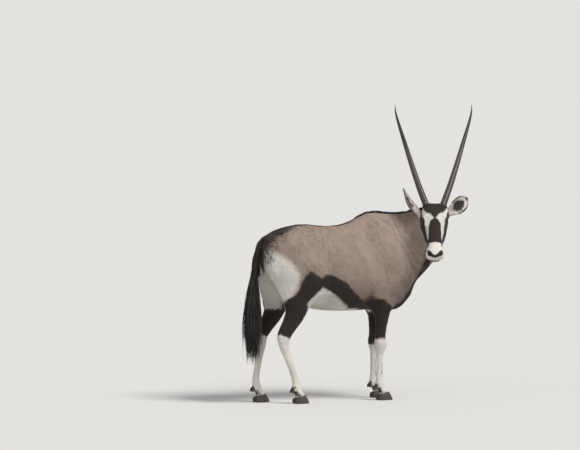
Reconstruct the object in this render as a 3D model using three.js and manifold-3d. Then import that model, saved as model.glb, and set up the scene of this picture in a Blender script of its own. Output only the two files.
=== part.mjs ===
// Gemsbok (Oryx gazella), life size, standing square and looking back over its right shoulder.
// Millimetres, +X ahead along the trunk, +Y to the animal's left, +Z up, soles at z = 0.
import * as THREE from 'three';
import { surfaceNet } from 'three/addons/libs/surfaceNet.js';
import { MeshoptSimplifier } from 'three/addons/libs/meshopt_simplifier.module.js';
import { mergeVertices } from 'three/addons/utils/BufferGeometryUtils.js';
import Module from 'manifold-3d';

const wasm = await Module();
wasm.setup();
await MeshoptSimplifier.ready;

const seam = 0.3; // gap between neighbouring pieces
const far = 4000; // larger than the animal
const degree = Math.PI / 180;
const up = new THREE.Vector3(0, 0, 1);
const ahead = new THREE.Vector3(1, 0, 0);

// The box's middle under the animal, which the finished model is moved by
const standingMiddle = new THREE.Vector3(223.5, -14, 0);

// Field of smooth limbs

// A limb is a tube along a smooth line. Each station holds the line's point, the half width to the side,
// the half depth along `depth`, and how much wider the section is towards `depth` than away from it.
function limb(stations, { depth = up, blend = 30, cap = 1, square = 2, steps = 5 } = {}) {
  const line = new THREE.CatmullRomCurve3(stations.map((s) => new THREE.Vector3(...s.at)), false, 'catmullrom');
  const sizes = new THREE.CatmullRomCurve3(
    stations.map((s) => new THREE.Vector3(s.side, s.deep, s.egg ?? 0)), false, 'catmullrom');
  const count = (stations.length - 1) * steps;
  const samples = [];
  for (let i = 0; i <= count; i++) {
    const tangent = line.getTangent(i / count);
    const deepWay = depth.clone().addScaledVector(tangent, -depth.dot(tangent)).normalize();
    const sideWay = new THREE.Vector3().crossVectors(deepWay, tangent);
    samples.push({ point: line.getPoint(i / count), size: sizes.getPoint(i / count), tangent, deepWay, sideWay });
  }
  const reach = new THREE.Box3();
  for (const { point, size } of samples) {
    reach.union(new THREE.Box3().setFromCenterAndSize(point, new THREE.Vector3(1, 1, 1)
      .multiplyScalar(2.3 * Math.max(size.x, size.y))));
  }
  return { samples, reach, blend, cap, square };
}

const offset = new THREE.Vector3();

// Distance from a point to a limb's surface, negative inside and good near the surface
function distanceTo(part, point) {
  const clear = part.reach.distanceToPoint(point);
  if (clear > part.blend) return clear;
  let nearest = Infinity;
  let from = 0;
  let share = 0;
  for (let i = 0; i + 1 < part.samples.length; i++) {
    const a = part.samples[i].point;
    const b = part.samples[i + 1].point;
    const dx = b.x - a.x, dy = b.y - a.y, dz = b.z - a.z;
    const along = ((point.x - a.x) * dx + (point.y - a.y) * dy + (point.z - a.z) * dz) / (dx * dx + dy * dy + dz * dz);
    const t = Math.min(1, Math.max(0, along));
    const gap = (a.x + t * dx - point.x) ** 2 + (a.y + t * dy - point.y) ** 2 + (a.z + t * dz - point.z) ** 2;
    if (gap < nearest) {
      nearest = gap;
      from = i;
      share = t;
    }
  }
  const a = part.samples[from];
  const b = part.samples[from + 1];
  const mix = (p, q) => p + (q - p) * share;
  offset.set(point.x - mix(a.point.x, b.point.x), point.y - mix(a.point.y, b.point.y), point.z - mix(a.point.z, b.point.z));
  const side = mix(offset.dot(a.sideWay), offset.dot(b.sideWay));
  const deep = mix(offset.dot(a.deepWay), offset.dot(b.deepWay));
  const past = mix(offset.dot(a.tangent), offset.dot(b.tangent));
  const halfDeep = mix(a.size.y, b.size.y);
  const lean = Math.max(-1, Math.min(1, deep / halfDeep));
  const halfSide = mix(a.size.x, b.size.x) * (1 + mix(a.size.z, b.size.z) * lean);
  const atEnd = (from === 0 && share === 0) || (from === part.samples.length - 2 && share === 1);
  const capLength = part.cap * Math.min(halfSide, halfDeep);
  const n = part.square;
  const flat = (Math.abs(side / halfSide) ** n + Math.abs(deep / halfDeep) ** n) ** (1 / n);
  const ratio = Math.hypot(flat, atEnd ? past / capLength : 0);
  const length = Math.hypot(side, deep, atEnd ? past : 0);
  return ratio < 0.05 ? -0.9 * Math.min(halfSide, halfDeep) : length * (1 - 1 / ratio);
}

// Union of two distances with a fillet of about `blend`
function smoothLeast(a, b, blend) {
  const h = Math.max(blend - Math.abs(a - b), 0) / blend;
  return Math.min(a, b) - h * h * blend / 4;
}

// Limbs that add, then limbs that carve
function field(added, carved = []) {
  return (point) => {
    let d = far;
    for (const part of added) d = smoothLeast(d, distanceTo(part, point), part.blend);
    for (const part of carved) d = -smoothLeast(-d, distanceTo(part, point), part.blend);
    return d;
  };
}

// The mirror image of a limb's stations, on the other side of the middle plane
const mirrored = (stations) => stations.map((s) => ({ ...s, at: [s.at[0], -s.at[1], s.at[2]] }));

// Both sides of a limb that lies beside the middle plane
const bothSides = (stations, options) => [limb(stations, options), limb(mirrored(stations), options)];

// Meshing

function solidFrom(positions, indices) {
  const solid = new wasm.Manifold(new wasm.Mesh({
    numProp: 3, vertProperties: Float32Array.from(positions), triVerts: Uint32Array.from(indices),
  }));
  if (solid.volume() > 0) return solid;
  const turned = Uint32Array.from(indices);
  for (let i = 0; i < turned.length; i += 3) [turned[i + 1], turned[i + 2]] = [turned[i + 2], turned[i + 1]];
  return new wasm.Manifold(new wasm.Mesh({
    numProp: 3, vertProperties: Float32Array.from(positions), triVerts: turned,
  }));
}

// Evens out a net: each round moves the points to their neighbours' middle and then most of the way back
function relax(positions, indices, rounds) {
  const count = positions.length / 3;
  const sums = new Float32Array(positions.length);
  const shares = new Float32Array(count);
  for (let round = 0; round < 2 * rounds; round++) {
    sums.fill(0);
    shares.fill(0);
    for (let i = 0; i < indices.length; i += 3) {
      for (const [from, to] of [[0, 1], [1, 2], [2, 0]]) {
        const a = indices[i + from];
        const b = indices[i + to];
        for (let axis = 0; axis < 3; axis++) sums[3 * a + axis] += positions[3 * b + axis];
        shares[a]++;
      }
    }
    const pull = round % 2 === 0 ? 0.6 : -0.62;
    for (let i = 0; i < positions.length; i++) {
      positions[i] += pull * (sums[i] / shares[Math.floor(i / 3)] - positions[i]);
    }
  }
}

// The surface where a field is zero, inside a box, brought down to about `triangles` faces
function mould(distance, low, high, cell, triangles, rounds = 4) {
  const box = new THREE.Box3(new THREE.Vector3(...low), new THREE.Vector3(...high));
  const middle = box.getCenter(new THREE.Vector3());
  const half = box.getSize(new THREE.Vector3()).multiplyScalar(0.5);
  const inBox = new THREE.Vector3();
  const boxed = (point) => {
    inBox.subVectors(point, middle);
    const outside = Math.max(Math.abs(inBox.x) - half.x, Math.abs(inBox.y) - half.y, Math.abs(inBox.z) - half.z);
    return Math.max(outside, distance(point));
  };
  const dims = half.toArray().map((h) => Math.ceil(2 * h / cell) + 4);
  const corner = box.min.clone().addScalar(-2 * cell);
  const values = new Float32Array(dims[0] * dims[1] * dims[2]);
  const point = new THREE.Vector3();
  let at = 0;
  for (let k = 0; k < dims[2]; k++) {
    for (let j = 0; j < dims[1]; j++) {
      for (let i = 0; i < dims[0]; i++) {
        values[at++] = boxed(point.set(corner.x + i * cell, corner.y + j * cell, corner.z + k * cell));
      }
    }
  }
  const lookUp = (x, y, z) => values[Math.round(x) + dims[0] * (Math.round(y) + dims[1] * Math.round(z))];
  const net = surfaceNet(dims, lookUp);
  const positions = new Float32Array(net.positions.flatMap(
    ([x, y, z]) => [corner.x + x * cell, corner.y + y * cell, corner.z + z * cell]));
  const faces = new Uint32Array(net.cells.flat());
  relax(positions, faces, rounds);
  const [kept] = MeshoptSimplifier.simplify(faces, positions, 3, triangles * 3, far, ['ErrorAbsolute', 'RegularizeLight']);
  const [remap, count] = MeshoptSimplifier.compactMesh(kept);
  const packed = new Float32Array(count * 3);
  remap.forEach((to, from) => {
    if (to < count) packed.set(positions.subarray(3 * from, 3 * from + 3), 3 * to);
  });
  return largest(solidFrom(packed, kept));
}

// The largest closed surface of a solid, which drops scraps and fills what fusing sealed
const largest = (solid) => solid.decompose().reduce((a, b) => (a.volume() > b.volume() ? a : b));

function toGeometry(solid) {
  const { vertProperties, triVerts } = solid.getMesh();
  return new THREE.BufferGeometry()
    .setAttribute('position', new THREE.BufferAttribute(vertProperties, 3))
    .setIndex(new THREE.BufferAttribute(triVerts, 1));
}

function toSolid(geometry) {
  const bare = geometry.clone().deleteAttribute('normal').deleteAttribute('uv');
  const merged = mergeVertices(bare, 1e-3);
  return solidFrom(merged.attributes.position.array, merged.index.array);
}

// Closed surface through rings of points, each ring with the same count
function loft(rings) {
  const count = rings[0].length;
  const positions = rings.flat().flatMap((p) => [p.x, p.y, p.z]);
  const indices = [];
  for (let r = 0; r + 1 < rings.length; r++) {
    for (let i = 0; i < count; i++) {
      const a = r * count + i;
      const b = r * count + (i + 1) % count;
      indices.push(a, b, a + count, b, b + count, a + count);
    }
  }
  for (const [r, flip] of [[0, true], [rings.length - 1, false]]) {
    const middle = positions.length / 3;
    const centre = rings[r].reduce((sum, p) => sum.add(p), new THREE.Vector3()).divideScalar(count);
    positions.push(centre.x, centre.y, centre.z);
    for (let i = 0; i < count; i++) {
      const a = r * count + i;
      const b = r * count + (i + 1) % count;
      indices.push(...(flip ? [middle, b, a] : [middle, a, b]));
    }
  }
  return solidFrom(positions, indices);
}

// Cutting

// The half of a solid on the side of a plane that the normal points to, half a seam clear of the plane
function sideOf(solid, point, normal) {
  const turn = new THREE.Quaternion().setFromUnitVectors(up, normal.clone().normalize());
  const block = new THREE.BoxGeometry(2 * far, 2 * far, far).translate(0, 0, far / 2 + seam / 2)
    .applyQuaternion(turn).translate(point.x, point.y, point.z);
  return largest(solid.intersect(toSolid(block)));
}

// A block with an outline in the X-Z plane, from one side to the other along Y
function sideBlock(outline, low, high) {
  return new THREE.ExtrudeGeometry(new THREE.Shape(outline.map(([x, z]) => new THREE.Vector2(x, z))),
    { depth: high - low, bevelEnabled: false }).rotateX(Math.PI / 2).translate(0, high, 0);
}

// The same block, larger by one seam on every face
function grown(block) {
  block.computeBoundingBox();
  const size = block.boundingBox.getSize(new THREE.Vector3());
  const middle = block.boundingBox.getCenter(new THREE.Vector3());
  return block.clone().translate(-middle.x, -middle.y, -middle.z)
    .scale(1 + 2 * seam / size.x, 1 + 2 * seam / size.y, 1 + 2 * seam / size.z)
    .translate(middle.x, middle.y, middle.z);
}

// A limb as a faceted tube, made larger all round by `grow`
function tube(part, sides, grow = 0) {
  const last = part.samples.length - 1;
  return loft(part.samples.map(({ point, size, deepWay, sideWay, tangent }, index) => {
    const end = index === last ? grow : index === 0 ? -grow : 0;
    return Array.from({ length: sides }, (_, i) => {
      const angle = 2 * Math.PI * i / sides;
      return point.clone().addScaledVector(tangent, end)
        .addScaledVector(deepWay, (size.y + grow) * Math.cos(angle))
        .addScaledVector(sideWay, (size.x + grow) * Math.sin(angle));
    });
  }));
}

// A flat lock that tapers along a line. `flat` is the way across its width, and `widths` its half widths.
function lock(points, flat, widths, thickness) {
  const line = new THREE.CatmullRomCurve3(points);
  const count = widths.length - 1;
  return loft(widths.map((width, i) => {
    const tangent = line.getTangent(i / count);
    const across = flat.clone().addScaledVector(tangent, -flat.dot(tangent)).normalize();
    const thin = new THREE.Vector3().crossVectors(tangent, across);
    const half = Math.max(0.5, thickness * Math.sqrt(width / Math.max(...widths)) / 2);
    return [[width, 0], [0, half], [-width, 0], [0, -half]].map(([w, t]) => line.getPoint(i / count)
      .addScaledVector(across, w).addScaledVector(thin, t));
  }));
}

// The same draws every time
let seed = 7;
function draw(low, high) {
  seed = (seed * 16807) % 2147483647;
  return low + (high - low) * seed / 2147483647;
}

// Trunk

// Each station: distance ahead of the trunk's middle, back line, belly line, half width
const trunkStations = [
  { x: -455, top: 1062, bottom: 800, half: 105, egg: 0.05 }, // pin bones
  { x: -370, top: 1110, bottom: 735, half: 160, egg: 0.0 }, // hip joints
  { x: -250, top: 1132, bottom: 660, half: 185, egg: -0.05 }, // croup
  { x: -110, top: 1118, bottom: 592, half: 205, egg: -0.14 }, // loin
  { x: 20, top: 1110, bottom: 576, half: 228, egg: -0.16 }, // belly
  { x: 150, top: 1132, bottom: 574, half: 224, egg: -0.18 }, // ribs
  { x: 265, top: 1172, bottom: 572, half: 196, egg: -0.26 }, // withers
  { x: 370, top: 1150, bottom: 572, half: 172, egg: -0.22 }, // shoulders
  { x: 455, top: 1010, bottom: 590, half: 132, egg: -0.05 }, // breast
].map(({ x, top, bottom, half, egg }) => ({ at: [x, 0, (top + bottom) / 2], side: half, deep: (top - bottom) / 2, egg }));

const trunk = limb(trunkStations, { cap: 0.45, blend: 60 });
const hump = limb([
  { at: [150, 0, 1085], side: 40, deep: 60 },
  { at: [265, 0, 1120], side: 46, deep: 72 },
  { at: [390, 0, 1105], side: 50, deep: 70 },
], { blend: 70 });
const spine = limb([
  { at: [-380, 0, 1075], side: 36, deep: 34 },
  { at: [-240, 0, 1100], side: 40, deep: 34 },
  { at: [-60, 0, 1082], side: 36, deep: 32 },
  { at: [150, 0, 1095], side: 36, deep: 36 },
], { blend: 50 });
const hipBones = bothSides([
  { at: [-210, 104, 1040], side: 30, deep: 26 },
  { at: [-300, 98, 1062], side: 38, deep: 34 },
  { at: [-430, 62, 1015], side: 40, deep: 44 },
], { blend: 90 });
const brisket = limb([
  { at: [330, 0, 640], side: 95, deep: 70 },
  { at: [420, 0, 650], side: 85, deep: 78 },
  { at: [480, 0, 700], side: 70, deep: 74 },
], { blend: 60 });

// Legs. `side` is -1 on the right and 1 on the left.

// Shoulder blade and upper arm, which lie on the ribs
const shoulder = ({ side, foreShift: shift }) => [
  limb([
    { at: [268, side * 88, 1085], side: 34, deep: 62 },
    { at: [320 + shift * 0.2, side * 122, 940], side: 48, deep: 88 },
    { at: [392 + shift * 0.4, side * 130, 800], side: 52, deep: 86 },
  ], { depth: ahead, blend: 70 }),
  limb([
    { at: [410 + shift * 0.4, side * 122, 800], side: 54, deep: 76 },
    { at: [350 + shift * 0.7, side * 122, 715], side: 56, deep: 88 },
    { at: [312 + shift, side * 112, 640], side: 52, deep: 76 },
  ], { depth: ahead, blend: 60 }),
];

const foreTrack = 90; // from the middle plane to a forefoot
const hindTrack = 102;
const fetlockHeight = 104;

// Fetlock and pastern, down to where the hooves begin
const footStations = (x, y) => [
  { at: [x, y, fetlockHeight], side: 27, deep: 31 },
  { at: [x + 14, y, 70], side: 26, deep: 26 },
  { at: [x + 30, y, 42], side: 34, deep: 36 },
  { at: [x + 40, y, 10], side: 34, deep: 40 },
];

// Foreleg from the elbow to the hooves
const foreleg = ({ side, foreShift: shift }) => [
  limb([
    { at: [318 + shift, side * 108, 690], side: 50, deep: 76 },
    { at: [314 + shift, side * 102, 600], side: 46, deep: 60 },
    { at: [310 + shift, side * 96, 510], side: 38, deep: 44 },
    { at: [304 + shift, side * 92, 420], side: 31, deep: 34 },
    { at: [304 + shift, side * foreTrack, 365], side: 34, deep: 36 }, // knee
    { at: [302 + shift, side * foreTrack, 325], side: 31, deep: 33 },
    { at: [298 + shift, side * foreTrack, 275], side: 21, deep: 23 },
    { at: [297 + shift, side * foreTrack, 190], side: 18, deep: 22 },
    { at: [297 + shift, side * foreTrack, 140], side: 21, deep: 25 },
    ...footStations(301 + shift, side * foreTrack),
  ], { depth: ahead, blend: 34, cap: 0.4 }),
  limb([
    { at: [252 + shift, side * 104, 640], side: 30, deep: 34 }, // point of the elbow
    { at: [278 + shift, side * 100, 590], side: 28, deep: 34 },
  ], { depth: ahead, blend: 40 }),
];

// Thigh and ham
const thigh = ({ side, hockShift: shift }) => [
  limb([
    { at: [-330, side * 92, 1010], side: 70, deep: 105 },
    { at: [-300, side * 120, 900], side: 74, deep: 135 },
    { at: [-262 + shift * 0.2, side * 124, 790], side: 66, deep: 122 },
    { at: [-246 + shift * 0.5, side * 118, 712], side: 54, deep: 84 }, // stifle
  ], { depth: ahead, blend: 70 }),
  limb([
    { at: [-452, side * 66, 985], side: 52, deep: 62 },
    { at: [-428, side * 92, 880], side: 62, deep: 84 },
    { at: [-384 + shift * 0.4, side * 106, 760], side: 56, deep: 82 },
    { at: [-352 + shift * 0.7, side * 110, 655], side: 46, deep: 62 },
  ], { depth: ahead, blend: 60 }),
];

// Hind leg from the stifle to the hooves. The hock and the foot are set ahead or back by their own shifts.
const hindleg = ({ side, hockShift: hock, hindShift: foot }) => [
  limb([
    { at: [-268 + hock * 0.5, side * 116, 730], side: 56, deep: 86 },
    { at: [-312 + hock * 0.7, side * 113, 645], side: 50, deep: 86 },
    { at: [-342 + hock * 0.8, side * 108, 560], side: 42, deep: 66 },
    { at: [-380 + hock * 0.9, side * 104, 490], side: 34, deep: 49 },
    { at: [-412 + hock, side * hindTrack, 430], side: 32, deep: 43 }, // hock
    { at: [-414 + hock, side * hindTrack, 375], side: 28, deep: 36 },
    { at: [-406 + hock * 0.7 + foot * 0.3, side * hindTrack, 310], side: 22, deep: 29 },
    { at: [-394 + hock * 0.3 + foot * 0.7, side * hindTrack, 220], side: 19, deep: 25 },
    { at: [-384 + foot, side * hindTrack, 145], side: 21, deep: 26 },
    ...footStations(-378 + foot, side * hindTrack),
  ], { depth: ahead, blend: 34, cap: 0.4 }),
  limb([
    { at: [-378 + hock * 0.8, side * hindTrack, 560], side: 13, deep: 14 }, // tendon of the hock
    { at: [-426 + hock * 0.95, side * hindTrack, 480], side: 14, deep: 15 },
    { at: [-444 + hock, side * hindTrack, 436], side: 17, deep: 16 },
  ], { depth: ahead, blend: 26 }),
];

// Dewclaws, behind a fetlock
const dewclaws = (x, y) => [-1, 1].map((s) => limb([
  { at: [x - 22, y + s * 14, fetlockHeight - 8], side: 12, deep: 12 },
  { at: [x - 36, y + s * 17, fetlockHeight - 32], side: 9, deep: 8 },
], { depth: ahead, blend: 8 }));

const legs = [
  { name: 'right', side: -1, foreShift: -14, hockShift: 16, hindShift: 68 },
  { name: 'left', side: 1, foreShift: 28, hockShift: -50, hindShift: -118 },
];
const feet = legs.flatMap((leg) => [
  { name: `fore_${leg.name}`, x: 301 + leg.foreShift, y: leg.side * foreTrack },
  { name: `hind_${leg.name}`, x: -378 + leg.hindShift, y: leg.side * hindTrack },
]);

// Hooves

const coronetFront = 62; // height of the hairline at the toe
const coronetBack = 30; // and at the heel
const clawLength = 100;
const clawWidth = 40;
const clawGap = 5;
const clawSides = 10;
const coronetSlope = (coronetFront - coronetBack) / 82;
const coronetHeight = (dx) => coronetBack + coronetSlope * (dx + 12); // dx from the fetlock

// One claw: rings from the flat sole to the sloping hairline
function claw(foot, inward) {
  const middle = foot.y + inward * (clawWidth + clawGap) / 2;
  const rings = [[0, 0.94], [0.14, 1], [0.6, 0.88], [1, 0.74]].map(([rise, scale]) => Array.from(
    { length: clawSides }, (_, i) => {
      const angle = 2 * Math.PI * i / clawSides;
      const dx = 34 - 16 * rise + scale * clawLength / 2 * Math.cos(angle);
      const topX = 34 - 16 + 0.74 * clawLength / 2 * Math.cos(angle);
      const dy = scale * clawWidth / 2 * Math.sin(angle) * (1 - 0.26 * Math.cos(angle));
      return new THREE.Vector3(foot.x + dx, middle + dy, rise * (coronetHeight(topX) - seam / 2));
    }));
  return loft(rings);
}

// Neck, bending to the right

const neck = limb([
  { at: [300, 0, 900], side: 140, deep: 262, egg: -0.2 },
  { at: [392, -6, 930], side: 132, deep: 252, egg: -0.2 },
  { at: [470, -32, 980], side: 112, deep: 218, egg: -0.18 },
  { at: [540, -85, 1042], side: 94, deep: 176, egg: -0.12 },
  { at: [590, -150, 1100], side: 80, deep: 132, egg: -0.05 },
  { at: [606, -212, 1140], side: 68, deep: 98 },
  { at: [602, -250, 1160], side: 60, deep: 82 },
], { blend: 70, cap: 0.6 });

// Head, in its own frame: x from the poll to the nose, y to the animal's left, z out of the forehead

const headTilt = 35; // degrees between the face and the vertical
const headTurn = -115; // degrees from straight ahead, to the right
const pollAt = new THREE.Vector3(597, -254, 1248);
const facing = new THREE.Vector3(Math.cos(headTurn * degree), Math.sin(headTurn * degree), 0);
const noseWay = facing.clone().multiplyScalar(Math.sin(headTilt * degree))
  .addScaledVector(up, -Math.cos(headTilt * degree));
const browWay = facing.clone().multiplyScalar(Math.cos(headTilt * degree))
  .addScaledVector(up, Math.sin(headTilt * degree));
const leftWay = new THREE.Vector3().crossVectors(browWay, noseWay);
const headToWorld = new THREE.Matrix4().makeBasis(noseWay, leftWay, browWay).setPosition(pollAt);
const worldToHead = headToWorld.clone().invert();

// Each station: distance from the poll, bridge line, jaw line, half width
const profile = (stations) => stations.map(
  ({ x, top, bottom, half, egg }) => ({ at: [x, 0, (top + bottom) / 2], side: half, deep: (top - bottom) / 2, egg }));

const eyeRadius = 19;
const eyeAt = new THREE.Vector3(106, 65, -38);
const eyeOut = new THREE.Vector3(0.3, 0.92, 0.24).normalize(); // the way the left eye looks
const eyeLong = new THREE.Vector3(1, 0, -0.25).addScaledVector(eyeOut, -eyeOut.dot(new THREE.Vector3(1, 0, -0.25)))
  .normalize();
const eyeHigh = new THREE.Vector3().crossVectors(eyeOut, eyeLong).negate();

// A point beside the left eye, given along its long way, its high way and out of its socket
const byEye = (along, high, out) => eyeAt.clone().addScaledVector(eyeLong, along).addScaledVector(eyeHigh, high)
  .addScaledVector(eyeOut, out).toArray();

const headParts = [
  limb(profile([
    { x: 8, top: -8, bottom: -116, half: 58, egg: 0 },
    { x: 56, top: 5, bottom: -128, half: 69, egg: 0.05 },
    { x: 104, top: 4, bottom: -130, half: 73, egg: 0.06 }, // orbits
    { x: 155, top: -5, bottom: -126, half: 62, egg: 0 },
    { x: 210, top: -16, bottom: -120, half: 52, egg: -0.05 },
    { x: 268, top: -28, bottom: -116, half: 47, egg: -0.05 },
    { x: 305, top: -36, bottom: -112, half: 49, egg: 0 },
  ]), { blend: 40, square: 2.3, cap: 0.8 }),
  limb(profile([ // lower jaw
    { x: 80, top: -88, bottom: -176, half: 50, egg: -0.2 },
    { x: 138, top: -90, bottom: -176, half: 48, egg: -0.25 },
    { x: 204, top: -96, bottom: -154, half: 41, egg: -0.2 },
    { x: 270, top: -102, bottom: -142, half: 35, egg: -0.2 },
    { x: 326, top: -106, bottom: -142, half: 35, egg: -0.1 },
  ]), { blend: 34, cap: 0.8 }),
  limb([ // upper lip and nose
    { at: [284, 0, -78], side: 48, deep: 34 },
    { at: [318, 0, -78], side: 57, deep: 33, egg: -0.1 },
    { at: [335, 0, -78], side: 53, deep: 29, egg: -0.1 },
  ], { blend: 26, square: 2.3, cap: 0.5 }),
  ...bothSides([ // bony root of the horn
    { at: [40, 40, -44], side: 34, deep: 32 },
    { at: [-18, 53, -28], side: 27, deep: 27 },
  ], { blend: 26, cap: 0.4 }),
  limb([ // crest between the horns
    { at: [-6, -46, -36], side: 24, deep: 24 },
    { at: [-6, 46, -36], side: 24, deep: 24 },
  ], { blend: 26 }),
  ...bothSides([ // chewing muscle
    { at: [94, 50, -114], side: 20, deep: 40 },
    { at: [152, 49, -118], side: 18, deep: 36 },
  ], { blend: 40 }),
  ...bothSides([ // cheek bone
    { at: [86, 64, -66], side: 13, deep: 12 },
    { at: [142, 60, -74], side: 11, deep: 11 },
    { at: [204, 50, -84], side: 10, deep: 10 },
  ], { blend: 26 }),
  ...bothSides([ // brow over the eye
    { at: [72, 63, -18], side: 11, deep: 10 },
    { at: [102, 71, -13], side: 11, deep: 9 },
    { at: [132, 62, -20], side: 9, deep: 9 },
  ], { blend: 20 }),
  ...bothSides([ // lids, closed
    { at: byEye(-5, 0, 0), side: eyeRadius + 2.8, deep: eyeRadius + 2.8 },
    { at: byEye(5, 0, 0), side: eyeRadius + 2.8, deep: eyeRadius + 2.8 },
  ], { blend: 14, depth: eyeOut, steps: 1 }),
  ...bothSides([ // wing of the nostril
    { at: [308, 45, -60], side: 8, deep: 9 },
    { at: [330, 41, -66], side: 8, deep: 9 },
  ], { blend: 14 }),
];
const mouthSide = [
  { at: [240, 49, -102], side: 5, deep: 4.5 },
  { at: [285, 49, -105], side: 5, deep: 4.5 },
  { at: [318, 44, -106], side: 5, deep: 4.5 },
  { at: [336, 26, -106], side: 5, deep: 4.5 },
];
const headCuts = [
  ...bothSides([ // opening between the lids
    { at: byEye(-20, -1, eyeRadius - 1), side: 2, deep: 5 },
    { at: byEye(-10, 0, eyeRadius), side: 11, deep: 12 },
    { at: byEye(0, 0, eyeRadius + 1), side: 13.5, deep: 13 },
    { at: byEye(10, 0, eyeRadius), side: 11, deep: 12 },
    { at: byEye(22, -3, eyeRadius - 3), side: 2, deep: 5 },
  ], { blend: 3, depth: eyeOut }),
  ...bothSides([ // nostril
    { at: [303, 44, -54], side: 4, deep: 6 },
    { at: [325, 36, -55], side: 5, deep: 7 },
    { at: [345, 16, -66], side: 4, deep: 6 },
  ], { blend: 5 }),
  limb([...mouthSide, { at: [343, 0, -106], side: 5, deep: 4.5 }, ...mirrored(mouthSide).reverse()], { blend: 4 }),
];

function eyeball(side, grow = 0) {
  return toSolid(new THREE.SphereGeometry(eyeRadius + grow, 12, 8)
    .translate(eyeAt.x, side * eyeAt.y, eyeAt.z).applyMatrix4(headToWorld));
}

// Horns, in the head's frame

const hornRidges = 16;
const hornRidged = 0.62; // share of the length that carries ridges
const ridgeHeight = 2;
const hornSides = 10;

// Left horn from its root inside the skull to the tip: middle line and radius
const hornStations = [
  { at: [24, 44, -42], radius: 22 },
  { at: [-16, 52, -28], radius: 24 },
  { at: [-176, 102, -30], radius: 21.5 },
  { at: [-355, 150, -40], radius: 18.5 },
  { at: [-520, 190, -60], radius: 14.5 },
  { at: [-690, 230, -86], radius: 9.5 },
  { at: [-784, 246, -106], radius: 5 },
  { at: [-842, 247, -120], radius: 1.5 },
];
const hornCurve = (values) => new THREE.CatmullRomCurve3(
  values.map((v) => new THREE.Vector3(...v)), false, 'catmullrom');
const hornLine = hornCurve(hornStations.map((s) => s.at));
const hornRadii = hornCurve(hornStations.map((s) => [s.radius, 0, 0]));

function horn(side, grow = 0) {
  const stops = [0, 0.04];
  for (let i = 0; i < hornRidges; i++) {
    const step = (hornRidged - 0.06) / hornRidges;
    stops.push(0.06 + step * (i + 0.5), 0.06 + step * (i + 0.95));
  }
  for (let i = 1; i <= 6; i++) stops.push(hornRidged + (1 - hornRidged) * i / 6);
  return loft(stops.map((share, index) => {
    const tangent = hornLine.getTangent(share);
    const across = new THREE.Vector3(0, 0, 1).addScaledVector(tangent, -tangent.z).normalize();
    const beside = new THREE.Vector3().crossVectors(tangent, across);
    const ridge = index > 1 && index % 2 === 0 && share < hornRidged ? ridgeHeight * (1 - 0.6 * share) : 0;
    const radius = hornRadii.getPoint(share).x + ridge + grow;
    const centre = hornLine.getPoint(share).addScaledVector(tangent, index === 0 ? -grow : 0);
    return Array.from({ length: hornSides }, (_, i) => {
      const angle = 2 * Math.PI * i / hornSides;
      const ringPoint = centre.clone().addScaledVector(across, radius * Math.cos(angle))
        .addScaledVector(beside, radius * Math.sin(angle));
      ringPoint.y *= side;
      return ringPoint.applyMatrix4(headToWorld);
    });
  }));
}

// Ears

const earLength = 192;
// Half width from the root to the tip
const earProfile = new THREE.CatmullRomCurve3(
  [21, 25, 38, 48, 51, 48, 40, 27, 3].map((half) => new THREE.Vector3(half, 0, 0)), false, 'catmullrom');
const earWall = 6;

// Where each ear leaves the head, where it points, and where its cup opens, in the head's frame
const ears = [
  { name: 'ear_left', base: [24, 78, -62], way: [-0.7, 0.66, -0.3], open: [0.54, 0.1, 0.84] },
  { name: 'ear_right', base: [24, -78, -62], way: [-0.72, -0.66, 0.14], open: [0.84, -0.74, 0.05] },
].map(({ name, base, way: wayIn, open: openIn }) => {
  const way = new THREE.Vector3(...wayIn).normalize();
  const open = new THREE.Vector3(...openIn);
  open.addScaledVector(way, -open.dot(way)).normalize();
  return { name, base: new THREE.Vector3(...base), way, open, across: new THREE.Vector3().crossVectors(open, way) };
});

// Gristle under the ear, on the head as far as the ear's base
const earRoot = (ear) => limb([
  { at: ear.base.clone().addScaledVector(ear.way, -32).toArray(), side: 30, deep: 30 },
  { at: ear.base.clone().addScaledVector(ear.way, 8).toArray(), side: 21, deep: 21 },
], { blend: 30, cap: 0.5 });

// The room an ear takes beyond its base, which is kept clear of the head
const earRoom = (ear) => toSolid(new THREE.CylinderGeometry(60, 30, 90, 16).translate(0, 45 - seam, 0)
  .applyQuaternion(new THREE.Quaternion().setFromUnitVectors(new THREE.Vector3(0, 1, 0), ear.way))
  .translate(...ear.base.toArray()));

// A solid root that widens into a leaf rolled as a cup: each ring runs along the outer skin and back along the inner one
function earShape(ear) {
  const wallPoints = 8;
  const stops = [0, 0.08, 0.14, 0.22, 0.34, 0.48, 0.62, 0.76, 0.88, 0.96, 1];
  return loft(stops.map((share, index) => {
    const half = earProfile.getPoint(share).x;
    const wrap = (170 - 75 * share) * degree; // how far the wall reaches round, each way
    const wall = index < 3 ? half * 0.97 : Math.min(half * 0.6, earWall);
    const centre = ear.base.clone().addScaledVector(ear.way, share * earLength)
      .addScaledVector(ear.open, -10 * Math.sin(Math.PI * share));
    return [[half, 1], [half - wall, -1]].flatMap(([radius, turn]) => Array.from({ length: wallPoints }, (_, i) => {
      const angle = turn * wrap * (2 * i / (wallPoints - 1) - 1);
      return centre.clone().addScaledVector(ear.open, -radius * 0.8 * Math.cos(angle))
        .addScaledVector(ear.across, radius * Math.sin(angle)).applyMatrix4(headToWorld);
    }));
  }));
}

// Tail

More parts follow.
